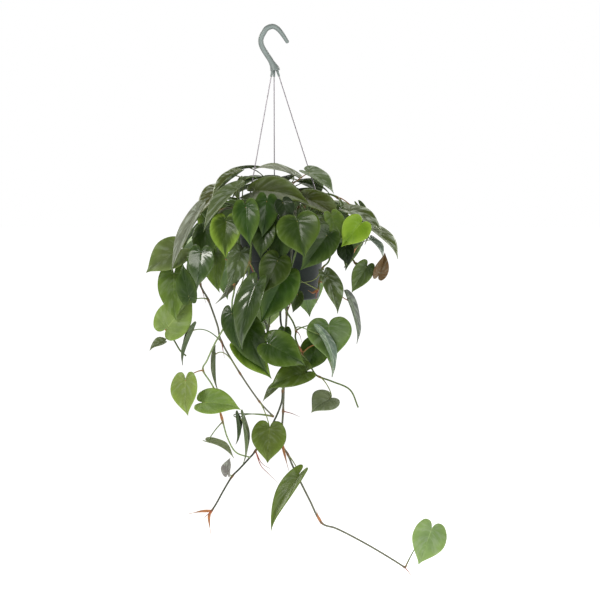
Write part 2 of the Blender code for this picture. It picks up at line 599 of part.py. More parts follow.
class Room:
    """What already fills the space round the pot, so that the next leaf is bent clear of it."""

    def __init__(self):
        self.trees = []
        self.points = np.empty((0, 3))
        self.radii = np.empty(0)
        self.owners = np.empty(0, int)

    def add_run(self, points, radius, owner):
        self.points = np.vstack([self.points, np.array([tuple(point) for point in points])])
        self.radii = np.append(self.radii, np.full(len(points), float(radius)))
        self.owners = np.append(self.owners, np.full(len(points), owner))

    def add_surface(self, points, faces):
        self.trees.append(BVHTree.FromPolygons(points, faces))

    def run_fits(self, points, radius, owner):
        """True where a thin run of points is clear of every blade and of all but its own stem."""
        away = radius + BLADE / 2 + CLEAR
        for tree in self.trees:
            if any(tree.find_nearest(point, away)[0] is not None for point in points):
                return False
        others = self.owners != owner
        spots = np.array([tuple(point) for point in points])
        gaps = np.linalg.norm(spots[:, None] - self.points[None, others], axis=2)
        return bool((gaps > self.radii[others] + radius + CLEAR).all())

    def blade_fits(self, one):
        """True where a blade is clear of every other blade, stem, petiole and wire."""
        points = blade_points(one)
        faces = blade_faces()
        thick = one.face.normalized() * (BLADE + CLEAR)
        layers = [point + thick * side for side in (-1, 0, 1) for point in points]
        stacked = [tuple(i + len(points) * layer for i in face) for layer in range(3) for face in faces]
        body = BVHTree.FromPolygons(layers, stacked)
        if any(body.overlap(tree) for tree in self.trees):
            return False
        middle = BVHTree.FromPolygons(points, faces)
        low = np.min([tuple(point) for point in points], axis=0) - NEAR
        high = np.max([tuple(point) for point in points], axis=0) + NEAR
        near = ((self.points > low) & (self.points < high)).all(axis=1)
        return all(middle.find_nearest(Vector(spot), radius + BLADE / 2 + CLEAR)[0] is None
                   for spot, radius in zip(self.points[near], self.radii[near]))


def petiole_line(one, root, bend):
    """A leaf stalk's points, which rise from the stem and meet the blade from behind."""
    run = (one.tip - one.base).normalized()
    up = (one.face - run * one.face.dot(run)).normalized()
    reach = (one.base - root).length
    arrive = (run * 0.5 + up * 0.6).normalized()
    leave = (one.base - root).normalized() + UP * 0.5
    end = blade_point(one, 0.05, 0)
    return interpolate_bezier(root, root + leave * 0.3 * reach + bend, end - arrive * 0.4 * reach + bend,
                              end, PETIOLE_STEPS + 1)


def trial_bends(axis):
    """Small sideways offsets in a widening spiral round the axis, the straight one first."""
    side = axis.orthogonal().normalized()
    other = axis.normalized().cross(side)
    for i in range(BENDS):
        turn = BEND_TURN * i
        yield (side * math.cos(turn) + other * math.sin(turn)) * BEND_STEP * math.sqrt(i)


def trial_shifts(push):
    """Small moves for a blade, outwards and inwards, then also up and down."""
    for lift in LIFTS:
        for i in range(PUSHES):
            yield push * PUSH_STEP * ((i + 1) // 2) * (1 if i % 2 else -1) + UP * lift


def grown(one, vine_index, root, room):
    """The leaf and its petiole's line, bent clear of what is there: the blade gives outwards or
    inwards in small steps, and the petiole bends. None where there is no room."""
    for shift in trial_shifts(one.push):
        moved = one._replace(base=one.base + shift, tip=one.tip + shift)
        if not room.blade_fits(moved):
            continue
        own = BVHTree.FromPolygons(blade_points(moved), blade_faces())
        for bend in trial_bends(moved.base - root):
            line = petiole_line(moved, root, bend)
            spots = close_points(line)
            free = all(own.find_nearest(point, STALK_OFF)[0] is None for point in spots[:-STALK_END])
            if free and room.run_fits(spots[:-1], PETIOLE_RADIUS, vine_index):
                room.add_surface(blade_points(moved), blade_faces())
                room.add_run(spots, PETIOLE_RADIUS, vine_index)
                return moved, line
    return None


def ways(angle):
    """The directions outwards and sideways at this angle round the pot."""
    turn = math.radians(angle)
    return Vector((math.cos(turn), math.sin(turn), 0)), Vector((-math.sin(turn), math.cos(turn), 0))


def far_route(centre, angle, low, draw):
    """A far stem's points: out over the rim, then down in equal steps with a little drift."""
    out, side = ways(angle)
    axis = Vector((centre.x, centre.y, 0))
    route = [axis + out * reach + UP * height for reach, height in BACK_START]
    while route[-1].z > low + BACK_END:
        drift = side * draw.uniform(*BACK_DRIFT) + out * draw.uniform(*BACK_SWAY)
        route.append(route[-1] - UP * BACK_STEP + drift)
    return route


def far_leaf(route, node, angle, draw):
    """A far stem's leaf, which hangs tip down and leans outwards, on alternate sides of the stem."""
    out, side = ways(angle)
    side *= 1 if node % 2 else -1
    length = draw.uniform(*LENGTHS)
    base = route[node] + out * draw.uniform(*BACK_OUT) + side * draw.uniform(*BACK_ASIDE)
    base += UP * draw.uniform(*BACK_ABOVE)
    run = (out * draw.uniform(*BACK_LEAN) + side * draw.uniform(*BACK_TURN) - UP).normalized()
    face = out + UP * draw.uniform(*BACK_LIFT) + side * draw.uniform(*BACK_ROLL)
    return leaf(node, base, base + run * length, face, draw.uniform(*BREADTHS),
                draw.uniform(*BACK_FOLDS), push=out)


def roof_leaf(centre, angle, height, draw):
    """A leaf that lies over the soil behind the front ones, its tip outwards."""
    out = ways(angle)[0]
    base = centre + out * draw.uniform(*ROOF_OUT) + UP * height
    run = (out - UP * draw.uniform(*ROOF_DIP)).normalized()
    return leaf(2, base, base + run * draw.uniform(*ROOF_LENGTHS), UP + out * ROOF_TILT,
                draw.uniform(*BREADTHS), ROOF_FOLD, push=out)


def far_vines():
    """The stems on the far side and the one behind the middle, by a rule with seeded draws."""
    draw = random.Random(BACK_SEED)
    centre = HEAD + Vector((math.sin(LEAN), 0, -math.cos(LEAN))) * HANG
    made = []
    for name, (angle, low) in BACK_STEMS.items():
        route = far_route(centre, angle, low, draw)
        leaves = [far_leaf(route, node, angle, draw) for node in range(1, len(route))]
        leaves = [one for one in leaves if one.node not in BACK_BARE.get(name, ())]
        made.append(vine("stem_back_" + name, BACK_RADIUS, route, leaves))
    roof = [roof_leaf(centre, angle, height, draw) for angle, height in ROOF_LEAVES]
    made.append(vine("stem_crown_back", BACK_RADIUS, [centre + Vector(point) for point in ROOF_ROUTE],
                     roof))
    return made


def rooted(one):
    """The stem's points from its end in the soil: straight up through the surface, then its route."""
    start = one.route[0] + UP * ROOT_RISE
    return [one.route[0] - UP * ROOT_DEPTH, *smooth([start, *one.route[1:]], STEM_STEP)]


def make_blade(one, pieces, green):
    mesh = bpy.data.meshes.new("blade")
    mesh.from_pydata([point * MM for point in blade_points(one)], [], blade_faces())
    blade = mesh_object("blade", mesh, pieces, green)
    set_modifier(blade, "SOLIDIFY", thickness=BLADE * MM, offset=0, use_even_offset=True)


def make_vine(index, one, room, collection, green):
    """A stem with its spurs, petioles and blades fused to it."""
    line = rooted(one)
    swell = [1 - STEM_TAPER * i / len(line) for i in range(len(line))]
    stem = tube(one.name, line, one.radius, collection, green, swell)
    pieces = new_collection("vine_pieces")
    for kind, node, points in one.spurs:
        points = smooth([one.route[node], *points], SPUR_STEP)
        taper = [1 - SPUR_TAPER * i / (len(points) - 1) for i in range(len(points))]
        tube(kind, points, SPUR_RADIUS[kind], pieces, green, taper)
    for wanted in one.leaves:
        found = grown(wanted, index, one.route[wanted.node], room)
        if found:
            placed, petiole = found
            tube("petiole", petiole, PETIOLE_RADIUS, pieces, green, PETIOLE_TAPER, PETIOLE_SIDES)
            make_blade(placed, pieces, green)
    joined(stem, pieces)
    rounded(stem, 30)


def filled_room():
    """The room with the pot, the wires and all the stems in it."""
    room = Room()
    tilt = Matrix.Translation(HEAD) @ Matrix.Rotation(-LEAN, 4, "Y")
    heights = ((0, -SOIL_TOP), (WALL_RADIUS, -SOIL_TOP), (WALL_RADIUS - 2, 1.5), (RIM_RADIUS + 1, 1.5),
               (RIM_RADIUS + 1, -SKIRT), (BASE_RADIUS + 1, -POT_HEIGHT - 1), (0, -POT_HEIGHT - 1))
    sides = 24
    points = [tilt @ Vector((radius * math.cos(2 * math.pi * i / sides),
                             radius * math.sin(2 * math.pi * i / sides), height - HANG))
              for radius, height in heights for i in range(sides)]
    faces = [(row * sides + i, row * sides + (i + 1) % sides, (row + 1) * sides + (i + 1) % sides,
              (row + 1) * sides + i) for row in range(len(heights) - 1) for i in range(sides)]
    room.add_surface(points, faces)
    for angle in WIRE_ANGLES.values():
        room.add_run([tilt @ wire_point(angle, -3 * i) for i in range(int(HANG / 3) + 1)], WIRE_RADIUS, -1)
    for index, one in enumerate(VINES):
        room.add_run(close_points(rooted(one)), one.radius, index)
        for kind, node, points in one.spurs:
            room.add_run(close_points([one.route[node], *points]), SPUR_RADIUS[kind], index)
    return room


def make_plant(collection):
    green = material("leaf_green", (0.06, 0.14, 0.03), 0.35)
    room = filled_room()
    for index, one in enumerate(VINES):
        make_vine(index, one, room, collection, green)


clear_scene()
VINES += far_vines()
body = new_collection("hanging_philodendron")
guides = new_collection("cutters")
hanging = make_hanging_frame(body)
hook_plastic = material("hook_plastic", (0.25, 0.33, 0.30), 0.4)
make_hook(body, guides, hanging, hook_plastic)
wire_steel = material("wire_steel", (0.45, 0.42, 0.42), 0.4)
for wire_side, wire_angle in WIRE_ANGLES.items():
    make_wire(wire_side, wire_angle, body, hanging, wire_steel)
make_pot(body, guides, hanging, material("pot_plastic", (0.025, 0.035, 0.045), 0.45))
make_soil(body, guides, hanging, material("potting_soil", (0.05, 0.03, 0.018), 0.95))
make_plant(body)
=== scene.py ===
"""The look of a heartleaf philodendron in a hanging pot. The values are in millimetres and the objects
in metres. The plant's points are (right, away from the viewer, up), from where the hook bears."""

import math
import random
from collections import namedtuple

import bmesh
import bpy
import numpy as np
from mathutils import Matrix, Vector
from mathutils.bvhtree import BVHTree
from mathutils.geometry import interpolate_bezier


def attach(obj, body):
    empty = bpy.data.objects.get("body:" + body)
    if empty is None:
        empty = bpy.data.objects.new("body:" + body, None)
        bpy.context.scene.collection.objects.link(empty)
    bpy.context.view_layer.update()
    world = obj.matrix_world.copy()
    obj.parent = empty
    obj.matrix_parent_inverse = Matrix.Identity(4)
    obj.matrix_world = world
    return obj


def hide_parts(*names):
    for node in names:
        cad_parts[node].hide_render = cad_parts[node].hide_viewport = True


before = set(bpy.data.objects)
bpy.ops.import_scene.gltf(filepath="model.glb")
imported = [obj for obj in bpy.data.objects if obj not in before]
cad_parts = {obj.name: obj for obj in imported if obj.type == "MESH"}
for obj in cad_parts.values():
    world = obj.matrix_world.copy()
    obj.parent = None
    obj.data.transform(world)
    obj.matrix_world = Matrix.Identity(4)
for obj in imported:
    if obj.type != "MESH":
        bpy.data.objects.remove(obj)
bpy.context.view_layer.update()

# The hook: one moulding of grey-green plastic, thinner towards its open tip, with the parting line of
# its mould along the edge. Its neck flares into a blunt head, and three sleeves under that hold the
# wires. The whole hangs a little off plumb. Its sides are painted darker where they turn away from
# the view: painted shade.
MM = 0.001
HEAD = Vector((3.6, 0, -66))
LEAN = math.radians(2.6)
HANGING = Matrix.Translation(HEAD) @ Matrix.Rotation(-LEAN, 4, "Y")
HOOK_RADIUS = 3.7
HOOK_LINE = ((22.8, -19.6), (17.5, -11.3), (11.5, -3.1), (5.5, 2.2), (-0.5, 3.7), (-8, 0.7),
             (-13, -6.1), (-16.5, -13.6), (-16.6, -21.1), (-14, -28.6), (-8, -38.3), (-1, -49), (3, -58))
HOOK_STEP = 1.2
HOOK_SIDES = 28
HOOK_FLAT = 0.94
HOOK_SEAM = 0.35
SEAM_FROM = 0.96
TIP_SHARE = 0.66
TIP_PARTS = 3
TIP_REACH = 1.6
TIP_ROUND = 0.55
NECK_HEIGHT = 12
NECK_SHARE = 0.95
# The head's middle line and its radius there, as (right, up, radius)
HEAD_LINE = ((-6.3, -41, 3.6), (-3.6, -45.4, 3.8), (-1.1, -49.6, 4.2), (1.2, -53.6, 5.2),
             (3.0, -57.6, 6.5), (4.0, -60.6, 7.4), (4.15, -61.6, 7.3), (4.2, -62.1, 6.6))
HEAD_STEP = 0.8
HEAD_SIDES = 40
HEAD_FLAT = 0.96
# A sleeve from its top, down its outside and up into its socket, as (height, radius)
SLEEVE_LINE = ((10, 1.6), (6, 2.1), (0, 1.806), (-4.3, 1.617), (-4.85, 1.512), (-5, 1.386),
               (-5, 1.15), (-1, 1.15))
SLEEVE_SIDES = 20
SOCKET_TOP = 2
WIRE_TOP_CIRCLE = 4.9
WIRE_CIRCLE = 69.5
WIRE_ANGLES = {"right": -21, "left": -141, "back": 99}
HANG = 219.2
FLANGE = 2.4
HOOK_COLOURS = ("7b8684", "8a9593")
# Painted shade: the dark grey that the hook's sides turn to where they face away from the view
HOOK_EDGE_SHADE = "2f3635"
PLAIN = (1, 1, 1)


def smooth(points, step):
    """Points every step or so on a smooth curve through these points."""
    ends = [2 * points[0] - points[1], *points, 2 * points[-1] - points[-2]]
    line = []
    for a, b, c, d in zip(ends, ends[1:], ends[2:], ends[3:]):
        count = max(1, math.ceil((c - b).length / step))
        for i in range(count):
            t = i / count
            line.append(0.5 * (2 * b + (c - a) * t + (2 * a - 5 * b + 4 * c - d) * t**2
                               + (3 * b - a - 3 * c + d) * t**3))
    return [*line, points[-1].copy()]


def wire_point(angle, height):
    """Where a wire's middle is at this height under the head, in the hanging frame."""
    share = (SOCKET_TOP - height) / (SOCKET_TOP + HANG + FLANGE / 2)
    reach = WIRE_TOP_CIRCLE + (WIRE_CIRCLE - WIRE_TOP_CIRCLE) * share
    turn = math.radians(angle)
    return Vector((reach * math.cos(turn), reach * math.sin(turn), height))


def linear(code):
    """The linear colour of a hexadecimal one."""
    parts = [int(code[i:i + 2], 16) / 255 for i in (0, 2, 4)]
    return [part / 12.92 if part < 0.04 else ((part + 0.055) / 1.055) ** 2.4 for part in parts]


def ring_faces(rows, sides, down=False):
    """The faces of a closed body of rings, ends included. down is for rings from the top down."""
    walls = [(i * sides + k, i * sides + (k + 1) % sides, (i + 1) * sides + (k + 1) % sides,
              (i + 1) * sides + k) for i in range(rows - 1) for k in range(sides)]
    ends = [tuple(range(sides))[::-1], tuple((rows - 1) * sides + k for k in range(sides))]
    if down:
        return [(a, d, c, b) for a, b, c, d in walls] + [end[::-1] for end in ends]
    return walls + ends


def turned_points(profile, sides, place):
    """The points of a body turned from (radius, height) points, ring by ring, moved to its place."""
    turns = [2 * math.pi * k / sides for k in range(sides)]
    return [place @ Vector((radius * math.cos(turn), radius * math.sin(turn), height))
            for radius, height in profile for turn in turns]


def in_scene(name, data):
    """A new object in the scene."""
    piece = bpy.data.objects.new(name, data)
    bpy.context.scene.collection.objects.link(piece)
    return piece


class Form:
    """A mesh in the making: its points in millimetres, each with a colour, and its faces, each with
    a place on the surface map for every corner."""

    def __init__(self):
        self.points = []
        self.faces = []
        self.tints = []
        self.finish_and_sheen_values = []
        self.places = []

    def add(self, points, faces, tints, places=None, finish=(0, 0, 0, 1)):
        """Joins more points and faces to the form."""
        first = len(self.points)
        self.finish_and_sheen_values += [finish] * len(points)
        self.points += [tuple(point) for point in points]
        self.faces += [[first + i for i in face] for face in faces]
        self.tints += [tuple(tint) for tint in tints]
        self.places += places or [[(0, 0)] * len(face) for face in faces]

    def tube(self, line, radii, sides, tints=None, flat=1.0, seam=0.0):
        """A closed tube along the line. flat squeezes its section, and seam raises two edges of it."""
        line = [Vector(point) for point in line]
        side = (line[1] - line[0]).orthogonal().normalized()
        if flat != 1 or seam:
            side = (line[1] - line[0]).cross(Vector((0, 1, 0))).normalized()
        rings = []
        for i, (point, radius) in enumerate(zip(line, radii)):
            way = (line[min(i + 1, len(line) - 1)] - line[max(i - 1, 0)]).normalized()
            side = (side - way * side.dot(way)).normalized()
            other = way.cross(side)
            for k in range(sides):
                turn = 2 * math.pi * k / sides
                edge = max(0, abs(math.cos(turn)) - SEAM_FROM) / (1 - SEAM_FROM)
                reach = radius + seam * edge
                rings.append(point + side * reach * math.cos(turn)
                             + other * reach * flat * math.sin(turn))
        tints = tints or [PLAIN] * len(line)
        self.add(rings, ring_faces(len(line), sides), [tint for tint in tints for _ in range(sides)])

    def turned(self, profile, sides, place):
        """A body turned from (radius, height) points."""
        points = turned_points(profile, sides, place)
        self.add(points, ring_faces(len(profile), sides, down=True), [PLAIN] * len(points))

    def made(self, name):
        """The bare object, in metres."""
        mesh = bpy.data.meshes.new(name)
        mesh.from_pydata([[c * MM for c in point] for point in self.points], [], self.faces)
        return in_scene(name, mesh)

    def shown(self, name, materials, node):
        """The finished object, which stands for its CAD node and rides with the pot."""
        piece = self.made(name)
        mesh = piece.data
        mesh.polygons.foreach_set("use_smooth", [True] * len(mesh.polygons))
        tint = mesh.attributes.new("tint", "FLOAT_COLOR", "POINT")
        tint.data.foreach_set("color", np.ravel([(*t, 1) for t in self.tints]))
        # The finish attribute: each point's shares of painted sheen (painted reflection), of rim and of
        # gloss, and a seed
        finish = mesh.attributes.new("finish", "FLOAT_COLOR", "POINT")
        finish.data.foreach_set("color", np.ravel(self.finish_and_sheen_values))
        surface_map = mesh.uv_layers.new(name="surface")
        surface_map.data.foreach_set("uv", np.ravel([p for face in self.places for p in face]))
        for material in materials:
            mesh.materials.append(material)
        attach(piece, "root")
        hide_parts(node)
        return piece


def node_in(tree, kind, inputs=None, **settings):
    """A new shader node with its settings, and its inputs linked from sockets or set to values."""
    node = tree.nodes.new("ShaderNode" + kind)
    for key, value in settings.items():
        setattr(node, key, value)
    for key, value in (inputs or {}).items():
        if isinstance(value, bpy.types.NodeSocket):
            tree.links.new(value, node.inputs[key])
        else:
            node.inputs[key].default_value = value
    return node


def new_group(name, inputs, outputs):
    """An empty shader node group with named float, colour or vector sockets."""
    group = bpy.data.node_groups.new(name, "ShaderNodeTree")
    for way, sockets in (("INPUT", inputs), ("OUTPUT", outputs)):
        for label, kind, value in sockets:
            socket = group.interface.new_socket(label, in_out=way, socket_type="NodeSocket" + kind)
            if value is not None:
                socket.default_value = value
    return group, group.nodes.new("NodeGroupInput").outputs, group.nodes.new("NodeGroupOutput").inputs


def placed(tree, group, **inputs):
    """A node group in a material, with this material's own values."""
    return node_in(tree, "Group", inputs, node_tree=group).outputs


def new_material(name, **values):
    """A material whose shader has these plain values. Its tree and shader follow it."""
    material = bpy.data.materials.new(name)
    material.use_nodes = True
    shader = material.node_tree.nodes["Principled BSDF"]
    for key, value in values.items():
        shader.inputs[key.replace("_", " ").title().replace("Ior", "IOR")].default_value = value
    return material, material.node_tree, shader


def blend(tree, share, first, second):
    """The colour between two, by the share. Each is a socket or a hexadecimal colour."""
    a, b = (one if isinstance(one, bpy.types.NodeSocket) else (*linear(one), 1)
            for one in (first, second))
    return node_in(tree, "MixRGB", {"Fac": share, "Color1": a, "Color2": b}).outputs["Color"]


def between(tree, share, low, high):
    """The value between low and high, by the share."""
    return node_in(tree, "MapRange", {"Value": share, "To Min": low, "To Max": high}).outputs["Result"]


def dress(tree, shader, colour, rough=None, relief=None, strength=0.0, depth=0.0):
    """Links a shader's colour, its roughness, and a relief of this strength and depth in metres."""
    tree.links.new(colour, shader.inputs["Base Color"])
    if rough is not None:
        tree.links.new(rough, shader.inputs["Roughness"])
    if relief is not None:
        bump = node_in(tree, "Bump", {"Height": relief, "Strength": strength, "Distance": depth})
        tree.links.new(bump.outputs["Normal"], shader.inputs["Normal"])


# Patches: soft blotches over a surface, for a colour that isn't even, dust, or wear
patches, given, out = new_group("patches", [("Scale", "Float", 50.0), ("Detail", "Float", 4.0),
                                            ("From", "Float", 0.4), ("To", "Float", 0.6)],
                                [("Mask", "Float", None), ("Height", "Float", None)])
where = node_in(patches, "TexCoord").outputs["Object"]
grain = node_in(patches, "TexNoise", {"Vector": where, "Scale": given["Scale"],
                                      "Detail": given["Detail"], "Roughness": 0.6})
mask = node_in(patches, "MapRange", {"Value": grain.outputs["Fac"], "From Min": given["From"],
                                     "From Max": given["To"]}, interpolation_type="SMOOTHSTEP")
patches.links.new(mask.outputs["Result"], out["Mask"])
patches.links.new(grain.outputs["Fac"], out["Height"])

hook_plastic, tree, shader = new_material("hook_plastic", specular_ior_level=0.45)
cloud = placed(tree, patches, Scale=30.0, Detail=3.0, From=0.3, To=0.75)
scuff = placed(tree, patches, Scale=700.0, Detail=6.0, From=0.55, To=0.75)
# Painted shade: the hook's colour darkens towards its sides as they turn away from the view
turned_away_shade = node_in(tree, "LayerWeight", {"Blend": 0.62}).outputs["Facing"]
body = blend(tree, cloud["Mask"], *HOOK_COLOURS)
dress(tree, shader, blend(tree, turned_away_shade, body, HOOK_EDGE_SHADE), between(tree, scuff["Mask"], 0.42, 0.52),
      relief=scuff["Height"], strength=0.05, depth=0.0002)

hook = Form()
line = smooth([Vector((x, 0, z)) for x, z in HOOK_LINE], HOOK_STEP)
swell = [min(1, TIP_SHARE + (1 - TIP_SHARE) * i / (len(line) / TIP_PARTS)) for i in range(len(line))]
tip = line[0] + (line[0] - line[1]).normalized() * TIP_REACH
neck = HANGING @ Vector((0, 0, NECK_HEIGHT))
hook.tube([tip, *line, neck],
          [HOOK_RADIUS * share for share in (TIP_SHARE * TIP_ROUND, *swell, NECK_SHARE)],
          HOOK_SIDES, flat=HOOK_FLAT, seam=HOOK_SEAM)
head = smooth([Vector((x, radius, z)) for x, z, radius in HEAD_LINE], HEAD_STEP)
hook.tube([(x, 0, z) for x, _, z in head], [radius for _, radius, _ in head], HEAD_SIDES,
          flat=HEAD_FLAT)
for angle in WIRE_ANGLES.values():
    hook.tube([HANGING @ wire_point(angle, height) for height, _ in SLEEVE_LINE],
              [radius for _, radius in SLEEVE_LINE], SLEEVE_SIDES)
hook.shown("hanger_hook_moulding", [hook_plastic], "hanger_hook")

# The wires: three lengths of drawn steel wire with a dull finish. Each is moulded into a sleeve of
# the head at its top, and at its foot a bead holds it under the pot's flange.
WIRE_RADIUS = 0.9
WIRE_SHARE = 0.92
WIRE_STEPS = 24
WIRE_SIDES = 14
WIRE_FOOT = 1.9
FOOT_GAP = 0.3
BEAD_STEPS = 12
BEAD_SIDES = 20
AXIS = 0.02
WIRE_COLOURS = ("847f84", "96919a")

wire_steel, tree, shader = new_material("wire_steel", metallic=0.6, specular_ior_level=0.5)
drawn = placed(tree, patches, Scale=260.0, Detail=4.0, From=0.35, To=0.65)
dress(tree, shader, blend(tree, drawn["Mask"], *WIRE_COLOURS), between(tree, drawn["Height"], 0.3, 0.55))

turns = [math.pi * i / BEAD_STEPS for i in range(BEAD_STEPS + 1)]
bead = [(WIRE_FOOT * math.sin(turn) + AXIS, WIRE_FOOT * math.cos(turn)) for turn in turns]
foot = -HANG - FLANGE - FOOT_GAP - WIRE_FOOT
heights = [SOCKET_TOP + (foot - SOCKET_TOP) * i / WIRE_STEPS for i in range(WIRE_STEPS + 1)]
for side, angle in WIRE_ANGLES.items():
    wire = Form()
    wire.tube([HANGING @ wire_point(angle, height) for height in heights],
              [WIRE_RADIUS * WIRE_SHARE] * len(heights), WIRE_SIDES)
    wire.turned(bead, BEAD_SIDES, HANGING @ Matrix.Translation(wire_point(angle, foot)))
    wire.shown("wire_" + side, [wire_steel], "hanger_wire_" + side)

# The pot: a tapered moulding of dark slate-grey plastic. Its flange turns down into a skirt with a
# rolled edge, and faint turning rings run round the wall. Drain holes go through the floor, and one
# hole for each wire through the flange.
UP = Vector((0, 0, 1))
POT_HEIGHT = 120
RIM_RADIUS = 75
WALL_RADIUS = 66.6
BASE_RADIUS = 51
WALL = 1.7
SKIRT = 13
POT_SIDES = 144
POT_CREASE = math.radians(50)
WALL_RINGS = (22, 24.5, 60, 98, 100.5)
RING_CUT = 0.35
RING_HALF = 0.9
WALL_DEPTHS = (3.4, 4.4, *range(6, 112, 2), 113.5, 115.5, 117)
DRAIN_HOLES = 6
DRAIN_RADIUS = 4
DRAIN_CIRCLE = 32
DRAIN_SIDES = 40
WIRE_HOLE = 0.45
WIRE_HOLE_SIDES = 20
DRILL_OVER = 3
POT_COLOURS = ("151e1c", "1c2623")
DUST = "6b675f"
DUST_SHARE = 0.2


def wall_inside(depth):
    """The wall's inside radius at this depth under the rim's top."""
    slope = (WALL_RADIUS - BASE_RADIUS) / (POT_HEIGHT - FLANGE)
    return WALL_RADIUS - slope * (depth - FLANGE) - WALL


def wall_outside(depth):
    """The wall's outside radius at this depth, with its rings."""
    near = min(abs(depth - ring) for ring in WALL_RINGS)
    return wall_inside(depth) + WALL - RING_CUT * max(0, 1 - near / RING_HALF)


def math_in(tree, operation, *values):
    """The output of a Math node."""
    return node_in(tree, "Math", dict(enumerate(values)), operation=operation).outputs["Value"]


pot_plastic, tree, shader = new_material("pot_plastic", specular_ior_level=0.2)
cloud = placed(tree, patches, Scale=40.0, Detail=5.0, From=0.35, To=0.7)
dust = placed(tree, patches, Scale=420.0, Detail=8.0, From=0.6, To=0.78)
body = blend(tree, cloud["Mask"], *POT_COLOURS)
dress(tree, shader, blend(tree, math_in(tree, "MULTIPLY", dust["Mask"], DUST_SHARE), body, DUST),
      between(tree, dust["Mask"], 0.4, 0.62), relief=dust["Height"], strength=0.1, depth=0.0003)

rings = sorted({*WALL_DEPTHS, *WALL_RINGS,
                *[ring + side for ring in WALL_RINGS for side in (-RING_HALF, RING_HALF)]})
inner = [(AXIS, -POT_HEIGHT + WALL), (BASE_RADIUS - 3.2, -POT_HEIGHT + WALL),
         (BASE_RADIUS - 1.6, -POT_HEIGHT + WALL + 0.9),
         *[(wall_inside(depth), -depth) for depth in (112, 90, 60, 30, 8, 3)]]
rim = [(wall_inside(1.2), -1.0), (WALL_RADIUS - WALL + 0.7, -0.25), (WALL_RADIUS - WALL + 1.6, 0),
       (RIM_RADIUS - 1.5, 0), (RIM_RADIUS - 0.5, -0.2), (RIM_RADIUS - 0.1, -0.8), (RIM_RADIUS, -1.6),
       (RIM_RADIUS, 2.2 - SKIRT), (RIM_RADIUS + 0.2, 1.6 - SKIRT), (RIM_RADIUS + 0.2, 0.6 - SKIRT),
       (RIM_RADIUS - 0.3, 0.1 - SKIRT), (RIM_RADIUS - WALL + 0.3, -SKIRT),
       (RIM_RADIUS - WALL, 0.4 - SKIRT), (RIM_RADIUS - WALL, -FLANGE - 0.8),
       (RIM_RADIUS - WALL - 0.8, -FLANGE)]
wall = [(WALL_RADIUS + 0.8, -FLANGE), *[(wall_outside(depth), -depth) for depth in rings],
        (BASE_RADIUS - 0.2, 0.9 - POT_HEIGHT), (BASE_RADIUS - 0.9, 0.2 - POT_HEIGHT),
        (BASE_RADIUS - 2, -POT_HEIGHT), (BASE_RADIUS - 6, -POT_HEIGHT),
        (BASE_RADIUS - 7, 0.6 - POT_HEIGHT), (AXIS, 0.6 - POT_HEIGHT)]
profile = [(radius, height - HANG) for radius, height in inner + rim + wall]
pot = Form()
pot.turned(profile[::-1], POT_SIDES, HANGING)
pot_piece = pot.shown("pot_moulding", [pot_plastic], "pot")

drill = Form()
for i in range(DRAIN_HOLES):
    turn = 2 * math.pi * i / DRAIN_HOLES
    low = Vector((DRAIN_CIRCLE * math.cos(turn), DRAIN_CIRCLE * math.sin(turn),
                  -HANG - POT_HEIGHT - DRILL_OVER))
    drill.tube([HANGING @ low, HANGING @ (low + UP * (WALL + 2 * DRILL_OVER))], [DRAIN_RADIUS] * 2,
               DRAIN_SIDES)
for angle in WIRE_ANGLES.values():
    drill.tube([HANGING @ wire_point(angle, DRILL_OVER + 1 - HANG),
                HANGING @ wire_point(angle, -HANG - FLANGE - DRILL_OVER)],
               [WIRE_RADIUS + WIRE_HOLE] * 2, WIRE_HOLE_SIDES)
drill_piece = drill.made("drill")
holes = pot_piece.modifiers.new("holes", "BOOLEAN")
holes.operation = "DIFFERENCE"
holes.object = drill_piece
bpy.context.view_layer.update()
drilled = bpy.data.meshes.new_from_object(pot_piece.evaluated_get(bpy.context.evaluated_depsgraph_get()))
pot_piece.modifiers.clear()
pot_piece.data = drilled
drilled.set_sharp_from_angle(angle=POT_CREASE)
bpy.data.objects.remove(drill_piece)

# The potting soil: damp dark crumbs of peat with bits of bark and white perlite, heaped a little
# towards the middle. It fills the pot to just under the flange, and the stems root in it.
SOIL_TOP = 14
SOIL_CROWN = 3
SOIL_GAP = 0.35
SOIL_ROUGH = 0.55
SOIL_START = 0.05
SOIL_RINGS = 40
SOIL_SIDES = 96
SIDE_DEPTHS = (40, 80, POT_HEIGHT - WALL - SOIL_GAP)
CRUMBS = 1100
CRUMB_SEED = 11
CRUMB_SIZE = (0.7, 1.9)
CRUMB_SQUEEZE = ((0.7, 1.5), (0.7, 1.3), (0.5, 0.9))
CRUMB_DENT = (0.85, 1.1)
CRUMB_LIFT = 0.3
CRUMB_EDGE = 2.5
CRUMB_COLOURS = ("2b1c12", "3a281a", "1c130d", "4a3422", "241811")
PERLITE = "cfc8ba"
PERLITE_EVERY = 13
WET_CLOD = "1d140d"

soil_crumbs, tree, shader = new_material("potting_soil", specular_ior_level=0.25, roughness=0.93)
tint = node_in(tree, "Attribute", attribute_name="tint").outputs["Color"]
clod = placed(tree, patches, Scale=260.0, Detail=8.0, From=0.35, To=0.65)
dress(tree, shader, blend(tree, clod["Mask"], WET_CLOD, tint), relief=clod["Height"], strength=0.9,
      depth=0.0015)

draw = random.Random(CRUMB_SEED)
soil = Form()
soil_reach = wall_inside(SOIL_TOP) - SOIL_GAP


def soil_height(reach, turn):
    """The crumbled surface's height in the pot, from the rim's top."""
    rise = SOIL_CROWN * (1 - (reach / soil_reach) ** 2)
    rough = math.sin(reach * 0.9 + 3 * math.sin(turn * 5)) * math.sin(turn * 13 + reach * 0.31)
    return rise - SOIL_TOP + SOIL_ROUGH * rough


